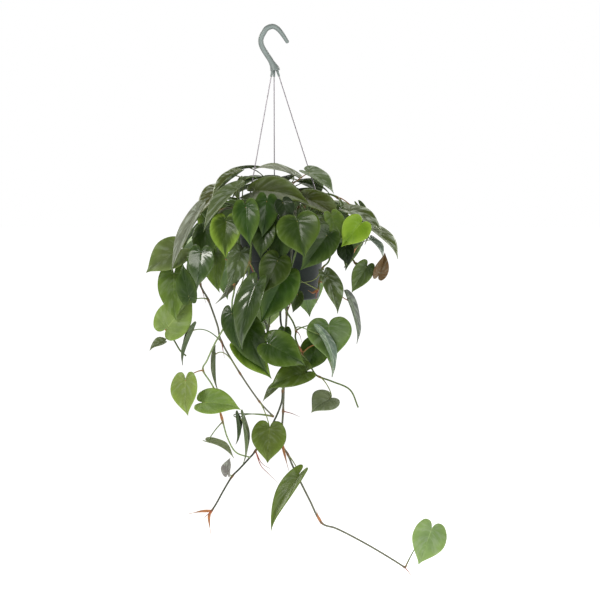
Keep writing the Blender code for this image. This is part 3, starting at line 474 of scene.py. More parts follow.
turns = np.linspace(0, 2 * math.pi, SOIL_SIDES, endpoint=False)
points = [(reach * math.cos(turn), reach * math.sin(turn), soil_height(reach, turn) - HANG)
          for reach in np.linspace(SOIL_START, soil_reach, SOIL_RINGS) for turn in turns]
for depth in SIDE_DEPTHS:
    reach = wall_inside(depth) - SOIL_GAP
    points += [(reach * math.cos(turn), reach * math.sin(turn), -depth - HANG) for turn in turns]
soil.add([HANGING @ Vector(point) for point in points],
         ring_faces(SOIL_RINGS + len(SIDE_DEPTHS), SOIL_SIDES, down=True),
         [linear(CRUMB_COLOURS[0])] * len(points))
ball = bmesh.new()
bmesh.ops.create_icosphere(ball, subdivisions=1, radius=1)
ball_points = [v.co.copy() for v in ball.verts]
ball_faces = [[v.index for v in face.verts] for face in ball.faces]
ball.free()
for i in range(CRUMBS):
    reach = (soil_reach - CRUMB_EDGE) * math.sqrt(draw.random())
    turn = draw.uniform(0, 2 * math.pi)
    size = draw.uniform(*CRUMB_SIZE)
    middle = Vector((reach * math.cos(turn), reach * math.sin(turn),
                     soil_height(reach, turn) - HANG + size * CRUMB_LIFT))
    colour = PERLITE if i % PERLITE_EVERY == 0 else draw.choice(CRUMB_COLOURS)
    squeeze = Vector([draw.uniform(*limits) for limits in CRUMB_SQUEEZE])
    spin = Matrix.Rotation(draw.uniform(0, 6.28), 3, "Z")
    soil.add([HANGING @ (middle + spin @ (point * squeeze * size * draw.uniform(*CRUMB_DENT)))
              for point in ball_points], ball_faces, [linear(colour)] * len(ball_points))
soil.shown("soil_crumbs", [soil_crumbs], "soil")

# The stems: green tissue about 3.5 mm thick, rooted in the soil, that climbs over the rim and trails.
# Every swollen node bears a leaf, and in places an aerial root, a bare stalk or a dry sheath. The table
# holds each stem's route and its leaves as they grow, with the words for their colours.
ROOT_DEPTH = 22
ROOT_RISE = 6
STEM_STEP = 32

Leaf = namedtuple("Leaf", "node base tip face breadth fold arch push")
Vine = namedtuple("Vine", "name radius route leaves spurs skin greens")


def leaf(node, base, tip, face, breadth=0.9, fold=14, arch=0.07, push=(0, -1, 0)):
    """A leaf whose petiole leaves the stem at the route point `node`. Its blade runs from base to
    tip, and its upper side looks along face. breadth is its width over its length, fold the angle
    that each half is raised by, arch its bulge over its length, and push the way that it can give."""
    return Leaf(node, Vector(base), Vector(tip), Vector(face), breadth, math.radians(fold), arch,
                Vector(push))


def spur(kind, node, *points):
    """An aerial root or a leaf sheath that grows from the route point `node` through the points."""
    return kind, node, [Vector(point) for point in points]


def vine(name, radius, route, leaves, spurs=(), skin="green", greens=""):
    """A stem through the route's points, from the soil out, with its leaves and spurs. skin is the
    stem's colour, and greens holds one colour for each leaf."""
    return Vine(name, radius, [Vector(point) for point in route], list(leaves), list(spurs), skin,
                greens.split())


VINES = [
    vine("stem_crown_top", 1.8,
         [(8, -6, -299), (10, -10, -270), (14, -14, -246)],
         [leaf(2, (34, -20, -219), (-27.5, -26, -206), (0.05, -0.22, 1), 0.75, 10),
          leaf(2, (-26, -60, -242), (56, -88, -258), (0.05, -0.62, 0.8), 0.74, 10, 0.09),
          leaf(1, (-30.5, -8, -207), (-78.5, -20, -239), (-0.5, -0.1, 0.85), 0.7, 16, 0.16),
          leaf(1, (-44, -54, -226), (-47, -60, -261), (-0.9, -0.2, 0.2), 0.6, 46),
          leaf(2, (53, -18, -213), (92, -32, -243), (0.4, -0.5, 0.8), 0.8),
          leaf(1, (48, -54, -251), (102, -78, -286), (0.3, -0.6, 0.75), 0.76,
               push=(0.3, 0.3, -1))],
         greens="streaked dusk olive streaked ash dusk"),
    vine("stem_crown_front", 1.8,
         [(20, -26, -299), (18, -58, -258), (10, -83, -256), (-1, -93, -290), (-3, -95, -340),
          (-2, -100, -405), (-4, -104, -440)],
         [leaf(2, (37, -122, -282), (48.5, -140, -336), (-0.1, -0.95, 0.3), 1.14, 9, 0.05),
          leaf(2, (-7, -98, -253), (-13, -107, -308), (0.15, -0.95, 0.2), 0.66, 10),
          leaf(2, (12, -98, -291), (12, -103, -349), (-0.05, -1, 0.1), 0.75, 6, 0.02),
          leaf(2, (16, -98, -256), (27, -102, -287), (0, -1, 0.3), 0.9),
          leaf(3, (10, -116, -340), (-12.5, -130, -390), (0.1, -0.95, 0.25), 0.85),
          leaf(4, (19, -118, -362), (-15.5, -126, -432), (0.15, -1, 0.2), 0.75),
          leaf(6, (-12.5, -112, -431), (-6.5, -113, -450), (0.9, -0.4, 0), 0.7, 30)],
         greens="fern pine pine shade pine fern olive"),
    vine("stem_crown_front_left", 1.8,
         [(-2, -28, -299), (-10, -58, -258), (-22, -88, -258), (-28, -102, -300), (-32, -104, -345),
          (-36, -106, -400), (-42, -106, -438)],
         [leaf(2, (-10, -116, -291), (-17, -126, -339), (-0.1, -0.95, 0.2), 0.76),
          leaf(2, (-38, -112, -262), (-31, -122, -320), (-0.1, -0.95, 0.2), 0.7),
          leaf(3, (-66.5, -106, -283), (-68, -114, -338), (-0.1, -0.95, 0.3), 0.85, 10),
          leaf(4, (-23, -124, -377), (-46, -130, -470), (-0.5, -0.85, 0.15), 0.48),
          leaf(5, (-38, -112, -434), (-10, -116, -503), (-0.25, -0.92, 0.1), 0.7),
          leaf(5, (-46, -104, -467), (1, -108, -515), (-0.15, -0.85, 0.4), 0.56),
          leaf(4, (-58, -110, -417), (-46, -114, -475), (-0.5, -0.8, 0.1), 0.6)],
         [spur("root", 4, (-26, -110, -360), (-17, -112, -374))],
         greens="pine fern rimmed glossy pine rimmed pine"),
    vine("stem_crown_front_right", 1.8,
         [(40, -20, -299), (44, -52, -268), (44, -84, -266), (52, -101, -287), (57, -103, -312)],
         [leaf(3, (82, -116, -303), (43, -126, -356), (0.2, -0.95, 0.2), 0.72),
          leaf(3, (60, -92, -282), (65, -97, -328), (0.1, -0.95, 0.1), 0.8),
          leaf(3, (88, -100, -276), (99, -108, -318), (0.35, -0.85, 0.3), 0.75)],
         greens="pine olive grass"),
    vine("stem_crown_left", 1.8,
         [(-22, -10, -299), (-44, -20, -258), (-76, -40, -254), (-96, -56, -285), (-100, -60, -330)],
         [leaf(2, (-77, -30, -239), (-108.5, -50, -278), (-0.5, -0.6, 0.6), 0.8),
          leaf(3, (-110, -92, -271), (-147.5, -110, -357), (-0.45, -0.85, 0.1), 0.24, 30),
          leaf(3, (-98, -86, -296), (-86, -94, -346), (-0.6, -0.75, 0.2), 0.85),
          leaf(2, (-48.5, -66, -243), (-101, -92, -304), (-0.55, -0.55, 0.6), 0.46, 26),
          leaf(4, (-82, -80, -334), (-78.5, -86, -390), (-0.5, -0.8, 0.1), 0.7),
          leaf(1, (-51.5, -44, -229), (-90.5, -60, -272), (-0.6, -0.3, 0.75), 0.6, 30)],
         greens="streaked glint pine ash grass streaked"),
    vine("stem_right_edge", 1.6,
         [(64, 8, -299), (88, 4, -264), (110, -14, -272), (117, -30, -312), (118, -34, -336),
          (123, -38, -348), (127, -40, -352)],
         [leaf(6, (140.5, -46, -353), (118, -52, -392), (-0.1, -0.9, 0.1), 0.68),
          leaf(3, (131, -92, -288), (102.5, -103, -322), (0.1, -0.95, 0.3), 0.95, 12),
          leaf(4, (148, -40, -313), (166, -44, -341), (0.5, -0.3, 0.8), 0.8),
          leaf(5, (158, -44, -366), (168, -48, -332), (0.2, -0.95, 0.1), 0.72, 30, 0.12),
          leaf(3, (148, -28, -298), (188.5, -44, -340), (0.45, -0.3, 0.85), 0.75, 16),
          leaf(3, (108, -84, -321), (113, -88, -350), (-0.2, -0.9, 0.2), 0.9)],
         [spur("sheath", 4, (123, -42, -328), (127, -46, -322))],
         greens="sage lime glint brown streaked shade"),
    vine("stem_crown_right", 1.8,
         [(44, 8, -299), (72, 4, -250), (98, 4, -252), (112, 6, -276), (113, 10, -304)],
         [leaf(2, (113, -50, -270), (165, -66, -302), (0.3, -0.5, 0.85), 0.62),
          leaf(1, (96, 12, -262), (140, 8, -292), (0.3, -0.1, 0.9), 0.75),
          leaf(2, (124, 0, -268), (134, -2, -324), (1, 0, 0.2), 0.85, push=(1, 0, 0)),
          leaf(3, (126, 36, -276), (136, 42, -330), (1, 0.2, 0.2), 0.85, push=(1, 0, 0)),
          leaf(4, (114, 20, -312), (116, 16, -358), (1, 0, 0.1), 0.8, push=(1, 0, 0))],
         greens="streaked moss fern pine moss"),
    vine("stem_long_left", 1.7,
         [(-28, -28, -299), (-50, -36, -270), (-74, -58, -270), (-96, -72, -302), (-104, -79, -345),
          (-105.5, -80, -377), (-93.5, -82, -401), (-80, -84, -438.5), (-74, -85, -462.5),
          (-47, -84, -509), (-18.5, -80, -551), (2.5, -77, -574)],
         [leaf(4, (-103, -118, -329), (-108, -124, -381), (0.1, -1, 0.25), 0.8, 22),
          leaf(6, (-121, -110, -396), (-131, -108, -346), (-0.3, -0.95, 0), 0.62, 8, 0.03),
          leaf(8, (-114.5, -88, -443), (-134, -90, -496), (-1, -0.1, 0.35), 0.3, 62, 0.03),
          leaf(9, (-83, -92, -478), (-81, -92, -537), (-1, 0.1, 0), 0.22, 60, 0.02),
          leaf(11, (-53, -86, -572), (-51, -88, -614), (1, -0.15, 0), 0.36, 58, 0.03),
          leaf(11, (-44, -78, -575), (-39, -80, -643), (0.95, -0.3, 0), 0.22, 56, 0.03),
          leaf(10, (-3.5, -88, -589), (-6.5, -94, -641), (0, -0.95, 0.2), 1.0, 10)],
         [spur("root", 5, (-101, -82, -392), (-97, -84, -406)),
          spur("root", 8, (-72, -88, -474), (-69.5, -89, -486))],
         skin="grey", greens="glossy pine bark bark shade ash grass"),
    vine("stem_light_left", 1.5,
         [(-8, -44, -299), (-18, -62, -268), (-36, -86, -268), (-50, -93, -310), (-54.5, -92, -380),
          (-58, -92, -401), (-60, -90, -420), (-72, -92, -444), (-84, -95, -465), (-95, -95, -489),
          (-101, -95, -504), (-84.5, -95, -532), (-72, -95, -580), (-65, -94, -604),
          (-53, -92, -625), (-32, -90, -633)],
         [leaf(10, (-126.5, -104, -516), (-124, -108, -570), (-0.35, -0.95, 0.1), 0.8),
          leaf(11, (-101, -100, -550), (-45, -108, -558), (0.05, -0.75, 0.65), 0.85, 12),
          leaf(12, (-92, -100, -609), (-54.5, -112, -630), (0.2, -0.3, 0.95), 0.6, 22),
          leaf(4, (-54.5, -84, -333), (-80, -88, -408), (0.8, -0.5, 0), 0.42, 40),
          leaf(4, (-46, -80, -330), (-63.5, -84, -383), (0.3, -0.9, 0), 0.7, 20)],
         [spur("sheath", 4, (-57, -95, -372), (-60, -97, -360)),
          spur("sheath", 11, (-77, -96, -548), (-66, -98, -543)),
          spur("sheath", 12, (-76, -97, -565), (-79, -98, -555))],
         skin="light", greens="pale pale dull silver ash"),
    vine("stem_front_dark", 1.8,
         [(10, -48, -299), (8, -68, -270), (8, -88, -276), (12, -90, -340), (13, -84, -432),
          (19, -84, -446), (17.5, -82, -491), (16, -80, -535), (13, -76, -557), (-0.5, -64, -588),
          (-24.5, -66, -625.5), (-33.5, -70, -636), (-48.5, -74, -652), (-59, -78, -662.5),
          (-71, -80, -682), (-81.5, -82, -701), (-89, -83, -713)],
         [leaf(5, (-4, -120, -462), (50, -126, -493), (-0.1, -0.92, 0.35), 0.86, 8),
          leaf(6, (50, -132, -503), (-4, -138, -527), (-0.1, -0.8, 0.6), 0.78, 14),
          leaf(7, (12, -100, -522), (-14, -102, -549), (-0.2, -0.85, 0.4), 0.4, 30),
          leaf(5, (19, -100, -443), (17, -102, -467), (0, -1, 0.2), 0.9),
          leaf(13, (-65, -94, -657), (-62, -90, -633), (-0.5, -0.8, 0.2), 0.8, 30)],
         [spur("sheath", 16, (-93, -84, -722), (-90.5, -84, -748)),
          spur("sheath", 16, (-105, -85, -713.5), (-123.5, -88, -717)),
          spur("root", 16, (-97, -86, -720), (-103, -87, -727)),
          spur("root", 10, (-15.5, -71, -643), (-2, -74, -652)),
          spur("root", 10, (-17, -71, -646), (-6, -74, -658), (8.5, -76, -672))],
         skin="dark", greens="fern moss ash fern glint"),
    vine("stem_long_right", 1.8,
         [(32, -46, -299), (34, -68, -271), (34, -86, -280), (28, -84, -340), (22, -74, -420),
          (19, -66, -480), (17.5, -62, -535), (16.5, -63, -567), (14.5, -64, -612),
          (23.5, -66, -631), (32.5, -68, -652), (47.5, -70, -682), (56.5, -70, -700),
          (73, -70, -732), (94, -72, -740), (116.5, -72, -751), (146.5, -72, -767.5),
          (176.5, -72, -785.5), (197.5, -72, -799)],
         [leaf(18, (236.5, -76, -740), (216, -82, -793), (0.15, -1, 0.15), 0.95, 18),
          leaf(9, (38.5, -78, -661), (-3, -86, -741), (-0.7, -0.7, 0.15), 0.38, 18),
          leaf(4, (38, -80, -392), (31, -84, -420), (0.3, -0.9, 0.1), 0.7)],
         [spur("sheath", 8, (19, -70, -632), (25, -72, -655)),
          spur("root", 7, (29.5, -68, -570), (41.5, -69, -575)),
          spur("root", 8, (3, -67, -617), (-6, -68, -628)),
          spur("sheath", 13, (68, -73, -722), (66, -75, -712)),
          spur("root", 18, (203, -73, -806), (208, -74, -813))],
         skin="grey", greens="milky grass pine"),
    vine("stem_right_front", 1.6,
         [(50, -36, -299), (54, -58, -270), (54, -84, -270), (40, -97, -315), (24, -100, -370),
          (19, -99, -408), (31, -99, -432), (35.5, -99, -445), (35, -99, -457), (44.5, -99, -479),
          (50.5, -99, -486), (62.5, -100, -507), (70, -101, -513), (89.5, -102, -520),
          (115, -103, -532), (127, -104, -558)],
         [leaf(7, (83.5, -106, -436), (86.5, -126, -489), (0, -0.95, 0.1), 1.24, 20),
          leaf(9, (66, -86, -466), (50, -88, -507), (0.1, -0.95, 0.2), 1.0),
          leaf(7, (68, -128, -446), (91, -142, -508), (0.9, -0.35, 0.3), 0.45, 44),
          leaf(9, (68.5, -94, -465), (91, -96, -513), (0.9, -0.3, 0.2), 0.7, 42),
          leaf(12, (86, -104, -544), (58, -122, -563), (0.1, -0.6, 0.7), 1.15, 8)],
         [spur("root", 7, (41, -103, -451), (44, -105, -462)),
          spur("sheath", 9, (41, -101, -470), (38, -102, -463))],
         greens="sage fern glint ash dull"),
    vine("stem_right_side", 1.6,
         [(60, -26, -299), (74, -46, -266), (92, -58, -276), (86, -70, -338), (75, -76, -354),
          (70, -80, -374), (68.5, -82, -386)],
         [leaf(4, (80, -90, -364), (98, -98, -420), (0.45, -0.85, 0.2), 0.56, 20, 0.1),
          leaf(5, (111, -76, -399), (128.5, -82, -465), (0.9, -0.4, 0.1), 0.34, 50, 0.04)],
         [spur("root", 6, (65, -86, -394), (67, -88, -407)),
          spur("sheath", 6, (60, -86, -390), (53, -88, -386)),
          spur("stalk", 6, (50, -93, -376), (32, -96, -367)),
          spur("stalk", 4, (62, -90, -371), (33, -98, -376))],
         greens="olive glint"),
    vine("stem_low_left", 1.6,
         [(-34, 4, -299), (-58, -2, -264), (-92, -20, -264), (-120, -44, -296), (-138, -60, -350),
          (-150, -68, -410), (-155, -72, -448), (-144.5, -74, -461), (-135.5, -75, -476),
          (-126.5, -76, -484)],
         [leaf(4, (-134, -92, -326), (-185, -98, -360), (-0.2, -0.9, 0.3), 0.85),
          leaf(4, (-144, -84, -362), (-143, -92, -431), (-0.3, -0.93, 0.1), 0.7, 8, 0.03),
          leaf(6, (-155, -82, -443), (-116, -74, -397), (-0.1, -1, 0.1), 0.9, 10),
          leaf(6, (-159.5, -82, -463), (-180.5, -84, -475), (0, -0.6, 0.8), 0.8, 30)],
         [spur("sheath", 6, (-158, -76, -440), (-160, -78, -430))],
         greens="sage grass pale ash"),
]

# The stems on the far side: each one's angle round the pot, and how low its last leaf hangs. They
# start as (reach from the pot's axis, height), and the ranges are for seeded draws. Some nodes have
# lost their leaf.
BACK_STEMS = {"a": (26, -310), "b": (42, -370), "c": (66, -395), "d": (92, -455), "e": (118, -395),
              "f": (143, -385), "g": (168, -370), "h": (194, -350)}
BACK_SEED = 7
BACK_BARE = {"b": (2,), "c": (4,), "g": (2,), "h": (2,)}
BACK_RADIUS = 1.7
BACK_START = ((44, -299), (62, -268), (84, -266), (100, -290))
BACK_STEP = 30
BACK_END = 50
BACK_DRIFT = (-5, 5)
BACK_SWAY = (-2, 2)
BACK_OUT = (14, 30)
BACK_ASIDE = (12, 30)
BACK_ABOVE = (-8, 8)
BACK_LEAN = (0.1, 0.4)
BACK_TURN = (0, 0.4)
BACK_LIFT = (0.1, 0.5)
BACK_ROLL = (-0.2, 0.5)
BACK_FOLDS = (8, 24)
LENGTHS = (56, 72)
BREADTHS = (0.82, 0.95)

# The leaves over the soil behind the middle: each one's angle round the pot, and its height
ROOF_ROUTE = ((4, 20, -14), (4, 24, 14), (2, 26, 36))
ROOF_LEAVES = ((6, 56), (30, 44), (52, 58), (74, 46), (96, 58), (118, 46), (134, 62), (160, 50),
               (188, 62), (206, 48))
ROOF_LENGTHS = (46, 58)
ROOF_OUT = (22, 32)
ROOF_DIP = (0.25, 0.5)
ROOF_TILT = 0.4
ROOF_FOLD = 12
FAR_GREENS = ("moss", "fern", "pine", "grass", "rimmed", "olive", "sage", "glossy")


def ways(angle):
    """The directions outwards and sideways at this angle round the pot."""
    turn = math.radians(angle)
    return Vector((math.cos(turn), math.sin(turn), 0)), Vector((-math.sin(turn), math.cos(turn), 0))


def far_route(centre, angle, low, draw):
    """A far stem's points: out over the rim, then down in equal steps with a little drift."""
    out, side = ways(angle)
    axis = Vector((centre.x, centre.y, 0))
    route = [axis + out * reach + UP * height for reach, height in BACK_START]
    while route[-1].z > low + BACK_END:
        drift = side * draw.uniform(*BACK_DRIFT) + out * draw.uniform(*BACK_SWAY)
        route.append(route[-1] - UP * BACK_STEP + drift)
    return route


def far_leaf(route, node, angle, draw):
    """A far stem's leaf, which hangs tip down and leans outwards, on alternate sides of the stem."""
    out, side = ways(angle)
    side *= 1 if node % 2 else -1
    length = draw.uniform(*LENGTHS)
    base = route[node] + out * draw.uniform(*BACK_OUT) + side * draw.uniform(*BACK_ASIDE)
    base += UP * draw.uniform(*BACK_ABOVE)
    run = (out * draw.uniform(*BACK_LEAN) + side * draw.uniform(*BACK_TURN) - UP).normalized()
    face = out + UP * draw.uniform(*BACK_LIFT) + side * draw.uniform(*BACK_ROLL)
    return leaf(node, base, base + run * length, face, draw.uniform(*BREADTHS),
                draw.uniform(*BACK_FOLDS), push=out)


def roof_leaf(centre, angle, height, draw):
    """A leaf that lies over the soil behind the front ones, its tip outwards."""
    out = ways(angle)[0]
    base = centre + out * draw.uniform(*ROOF_OUT) + UP * height
    run = (out - UP * draw.uniform(*ROOF_DIP)).normalized()
    return leaf(2, base, base + run * draw.uniform(*ROOF_LENGTHS), UP + out * ROOF_TILT,
                draw.uniform(*BREADTHS), ROOF_FOLD, push=out)


def far_vines():
    """The stems on the far side and the one behind the middle, by a rule with seeded draws."""
    draw = random.Random(BACK_SEED)
    centre = HEAD + Vector((math.sin(LEAN), 0, -math.cos(LEAN))) * HANG
    made = []
    for name, (angle, low) in BACK_STEMS.items():
        route = far_route(centre, angle, low, draw)
        leaves = [far_leaf(route, node, angle, draw) for node in range(1, len(route))]
        leaves = [one for one in leaves if one.node not in BACK_BARE.get(name, ())]
        made.append(vine("stem_back_" + name, BACK_RADIUS, route, leaves))
    roof = [roof_leaf(centre, angle, height, draw) for angle, height in ROOF_LEAVES]
    made.append(vine("stem_crown_back", BACK_RADIUS, [centre + Vector(point) for point in ROOF_ROUTE],
                     roof))
    return made


def rooted(one):
    """The stem's points from its end in the soil: straight up through the surface, then its route."""
    start = one.route[0] + UP * ROOT_RISE
    return [one.route[0] - UP * ROOT_DEPTH, *smooth([start, *one.route[1:]], STEM_STEP)]


VINES += far_vines()

# Where the leaves hang: each grows towards its place in the table and gives way to what is there
# already, the pot, the wires, the stems and the leaves before it, as crowded leaves do.
BLADE = 0.9
OUTLINE = ((-0.18, 0.3), (-0.17, 0.66), (0.06, 0.96), (0.34, 0.98), (0.62, 0.68), (0.83, 0.26))
MIDRIB = (0, 0.45, 1)
PETIOLE_RADIUS = 1.0
PETIOLE_STEPS = 3
PETIOLE_RISE = 0.5
PETIOLE_LEAVE = 0.3
PETIOLE_ARRIVE = 0.4
PETIOLE_MEET = (0.5, 0.6)
PETIOLE_JOIN = 0.05
SPUR_RADIUS = {"root": 0.9, "sheath": 1.5, "stalk": 0.9}
CLEAR = 1.0
CLOSE = 2.5
NEAR = 5
PUSH_STEP = 3
PUSHES = 17
LIFTS = (0, 6, -6, 12, -12)
BENDS = 30
BEND_TURN = 2.4
BEND_STEP = 4.5
STALK_OFF = 2.0
STALK_END = 5
WIRE_STEP = 3
POT_ROOM = ((0, -SOIL_TOP), (WALL_RADIUS, -SOIL_TOP), (WALL_RADIUS - 2, 1.5), (RIM_RADIUS + 1, 1.5),
            (RIM_RADIUS + 1, -SKIRT), (BASE_RADIUS + 1, -POT_HEIGHT - 1), (0, -POT_HEIGHT - 1))
ROOM_SIDES = 24


def close_points(line):
    """Points a few millimetres apart along the straight pieces of a line."""
    spots = []
    for a, b in zip(line, line[1:]):
        count = math.ceil((b - a).length / CLOSE)
        spots += [a.lerp(b, i / count) for i in range(count)]
    return [*spots, line[-1]]


def blade_point(one, along, across):
    """The middle of the blade's thickness, along from 0 at the petiole to 1 at the tip, and across
    from -1 to 1. The halves are raised along the midrib, and the whole is arched over its length."""
    run = one.tip - one.base
    length = run.length
    run.normalize()
    up = (one.face - run * one.face.dot(run)).normalized()
    half = across * one.breadth * length / 2
    lift = 4 * one.arch * length * along * (1 - along) + abs(half) * math.sin(one.fold)
    return one.base + run * along * length + run.cross(up) * half * math.cos(one.fold) + up * lift


def blade_faces():
    """The triangles of one blade: the midrib's points, then each half's outline, base to tip."""
    count = len(OUTLINE)
    faces = []
    for side in range(2):
        edge = [len(MIDRIB) + side * count + i for i in range(count)]
        half = [(0, edge[0], edge[1]), (0, edge[1], edge[2]), (0, edge[2], 1), (1, edge[2], edge[3]),
                (1, edge[3], edge[4]), (1, edge[4], 2), (2, edge[4], edge[5])]
        faces += half if side else [face[::-1] for face in half]
    return faces


def blade_points(one):
    """The points that blade_faces joins."""
    points = [blade_point(one, along, 0) for along in MIDRIB]
    for side in (1, -1):
        points += [blade_point(one, along, side * across) for along, across in OUTLINE]
    return points


class Room:
    """What already fills the space round the pot, so that the next leaf is bent clear of it."""

    def __init__(self):
        self.trees = []
        self.points = np.empty((0, 3))
        self.radii = np.empty(0)
        self.owners = np.empty(0, int)

    def add_run(self, points, radius, owner):
        self.points = np.vstack([self.points, np.array([tuple(point) for point in points])])
        self.radii = np.append(self.radii, np.full(len(points), float(radius)))
        self.owners = np.append(self.owners, np.full(len(points), owner))

    def add_surface(self, points, faces):
        self.trees.append(BVHTree.FromPolygons(points, faces))

    def run_fits(self, points, radius, owner):
        """True where a thin run of points is clear of every blade and of all but its own stem."""
        away = radius + BLADE / 2 + CLEAR
        for tree in self.trees:
            if any(tree.find_nearest(point, away)[0] is not None for point in points):
                return False
        others = self.owners != owner
        spots = np.array([tuple(point) for point in points])
        gaps = np.linalg.norm(spots[:, None] - self.points[None, others], axis=2)
        return bool((gaps > self.radii[others] + radius + CLEAR).all())

    def blade_fits(self, one):
        """True where a blade is clear of every other blade, stem, petiole and wire."""
        points = blade_points(one)
        faces = blade_faces()
        thick = one.face.normalized() * (BLADE + CLEAR)
        layers = [point + thick * side for side in (-1, 0, 1) for point in points]
        stacked = [tuple(i + len(points) * layer for i in face) for layer in range(3) for face in faces]
        body = BVHTree.FromPolygons(layers, stacked)
        if any(body.overlap(tree) for tree in self.trees):
            return False
        middle = BVHTree.FromPolygons(points, faces)
        low = np.min([tuple(point) for point in points], axis=0) - NEAR
        high = np.max([tuple(point) for point in points], axis=0) + NEAR
        near = ((self.points > low) & (self.points < high)).all(axis=1)
        return all(middle.find_nearest(Vector(spot), radius + BLADE / 2 + CLEAR)[0] is None
                   for spot, radius in zip(self.points[near], self.radii[near]))


def petiole_curve(one, root, bend):
    """The control points of a leaf stalk, which rises from the stem and meets the blade from behind."""
    run = (one.tip - one.base).normalized()
    up = (one.face - run * one.face.dot(run)).normalized()
    reach = (one.base - root).length
    arrive = (run * PETIOLE_MEET[0] + up * PETIOLE_MEET[1]).normalized()
    leave = (one.base - root).normalized() + UP * PETIOLE_RISE
    end = blade_point(one, PETIOLE_JOIN, 0)
    return (root, root + leave * PETIOLE_LEAVE * reach + bend,
            end - arrive * PETIOLE_ARRIVE * reach + bend, end)


def trial_bends(axis):
    """Small sideways offsets in a widening spiral round the axis, the straight one first."""
    side = axis.orthogonal().normalized()
    other = axis.normalized().cross(side)
    for i in range(BENDS):
        turn = BEND_TURN * i
        yield (side * math.cos(turn) + other * math.sin(turn)) * BEND_STEP * math.sqrt(i)


def trial_shifts(push):
    """Small moves for a blade, outwards and inwards, then also up and down."""
    for lift in LIFTS:
        for i in range(PUSHES):
            yield push * PUSH_STEP * ((i + 1) // 2) * (1 if i % 2 else -1) + UP * lift


def grown(one, vine_index, root, room):
    """The leaf and its petiole's curve, bent clear of what is there: the blade gives outwards or
    inwards in small steps, and the petiole bends. None where there is no room."""
    for shift in trial_shifts(one.push):
        moved = one._replace(base=one.base + shift, tip=one.tip + shift)
        if not room.blade_fits(moved):
            continue
        own = BVHTree.FromPolygons(blade_points(moved), blade_faces())
        for bend in trial_bends(moved.base - root):
            curve = petiole_curve(moved, root, bend)
            spots = close_points(interpolate_bezier(*curve, PETIOLE_STEPS + 1))
            free = all(own.find_nearest(point, STALK_OFF)[0] is None for point in spots[:-STALK_END])
            if free and room.run_fits(spots[:-1], PETIOLE_RADIUS, vine_index):
                room.add_surface(blade_points(moved), blade_faces())
                room.add_run(spots, PETIOLE_RADIUS, vine_index)
                return moved, curve
    return None


def filled_room():
    """The room with the pot, the wires and all the stems in it."""
    room = Room()
    profile = [(radius, height - HANG) for radius, height in POT_ROOM]
    sides_only = ring_faces(len(profile), ROOM_SIDES)[:-2]
    room.add_surface(turned_points(profile, ROOM_SIDES, HANGING), sides_only)
    heights = [-WIRE_STEP * i for i in range(int(HANG / WIRE_STEP) + 1)]
    for angle in WIRE_ANGLES.values():
        room.add_run([HANGING @ wire_point(angle, height) for height in heights], WIRE_RADIUS, -1)
    for index, one in enumerate(VINES):
        room.add_run(close_points(rooted(one)), one.radius, index)
        for kind, node, points in one.spurs:
            room.add_run(close_points([one.route[node], *points]), SPUR_RADIUS[kind], index)
    return room


room = filled_room()
grown_leaves = {one.name: [(wanted, grown(wanted, index, one.route[wanted.node], room))
                           for wanted in one.leaves] for index, one in enumerate(VINES)}

# The blades: heart-shaped and leathery, each with two round lobes behind the petiole and a drip tip.
# The veins leave the sunken midrib and curve to the margin, and the blade is quilted between them.
# It is waxy and glossy above, and paler and duller below.
MARGIN = ((0, 0), (-0.12, 0.1), (-0.19, 0.3), (-0.165, 0.62), (0.01, 0.9), (0.22, 1.0), (0.42, 0.93),
          (0.61, 0.69), (0.77, 0.39), (0.9, 0.13), (1, 0))
MARGIN_STEPS = 40
OUT_STEPS = 10
RIB_START = 0.4
RIB_EASE = 2.1
VEIN_CURVE = 1.55
VEIN_COUNT = 8
THICK = 0.5
QUILT = 0.5
QUILT_LENGTH = 70
QUILT_FADE = 0.3
QUILT_ROUND = 0.8
GROOVE = 0.4
GROOVE_WIDTH = 0.07
SWING = (-0.025, 0.025)
WAVES = (1.6, 2.6)
WAVE = (0.7, 1.5)
DRIP = 0.05
DRIP_FROM = 0.72
WELD_DIGITS = 3
GREEN_SPREAD = (0.88, 1.12)
# Each green: its colour, and its shares of painted sheen (pale silver streaks that stand for
# reflections), of young yellow-green rim and of gloss
# The palest grey greens, with a full share of sheen, are painted reflection: the grey of leaves that
# catch the light at a grazing angle
GREENS = {"moss": ("44551a", 0.1, 0.2, 0.1), "fern": ("314911", 0.05, 0.2, 0.15),
          "pine": ("283d0a", 0.05, 0.1, 0.15), "shade": ("1a290a", 0.05, 0.0, 0.1),
          "grass": ("526826", 0.15, 0.2, 0.05), "sage": ("5a7140", 0.25, 0.2, 0.0),
          "pale": ("7c9149", 0.2, 0.4, 0.0), "lime": ("6c8a1c", 0.0, 0.8, 0.05),
          "olive": ("445128", 0.5, 0.1, 0.1), "streaked": ("48531f", 1.0, 0.1, 0.15),
          "silver": ("606c48", 1.0, 0.0, 0.1), "ash": ("5a663e", 0.6, 0.0, 0.05),
          "rimmed": ("375010", 0.05, 0.7, 0.1), "glossy": ("2c440c", 0.15, 0.1, 0.8),
          "brown": ("6a5030", 0.3, 0.0, 0.1), "dusk": ("3d4617", 0.15, 0.15, 0.05),
          "bark": ("4b4a3c", 0.2, 0.0, 0.0), "glint": ("7f8878", 1.0, 0.0, 0.0),
          "dull": ("76805c", 0.3, 0.0, 0.0), "milky": ("8a9a68", 0.3, 0.2, 0.0)}
# Painted reflection: the pale silver-grey that the sheen streaks are painted in, standing for light on
# the blade
SHEEN_HIGHLIGHT = "b3bcae"
SHEEN_HIGHLIGHT_SHARE = 0.62
YOUNG = "8aa838"
EDGE_SHARE = 0.4
FINE_RELIEF = 0.25
SEED_SPREAD = 40.0
UPPER_PALE = "7c8a5a"
UNDER_PALE = "6f8458"
GLOSS_RANGE = 0.07
SKIN_RELIEF = 0.28
VEIN_WIDTH = 0.09
VEIN_THINS = 1.12
VEIN_FADES = (1.02, 1.4)
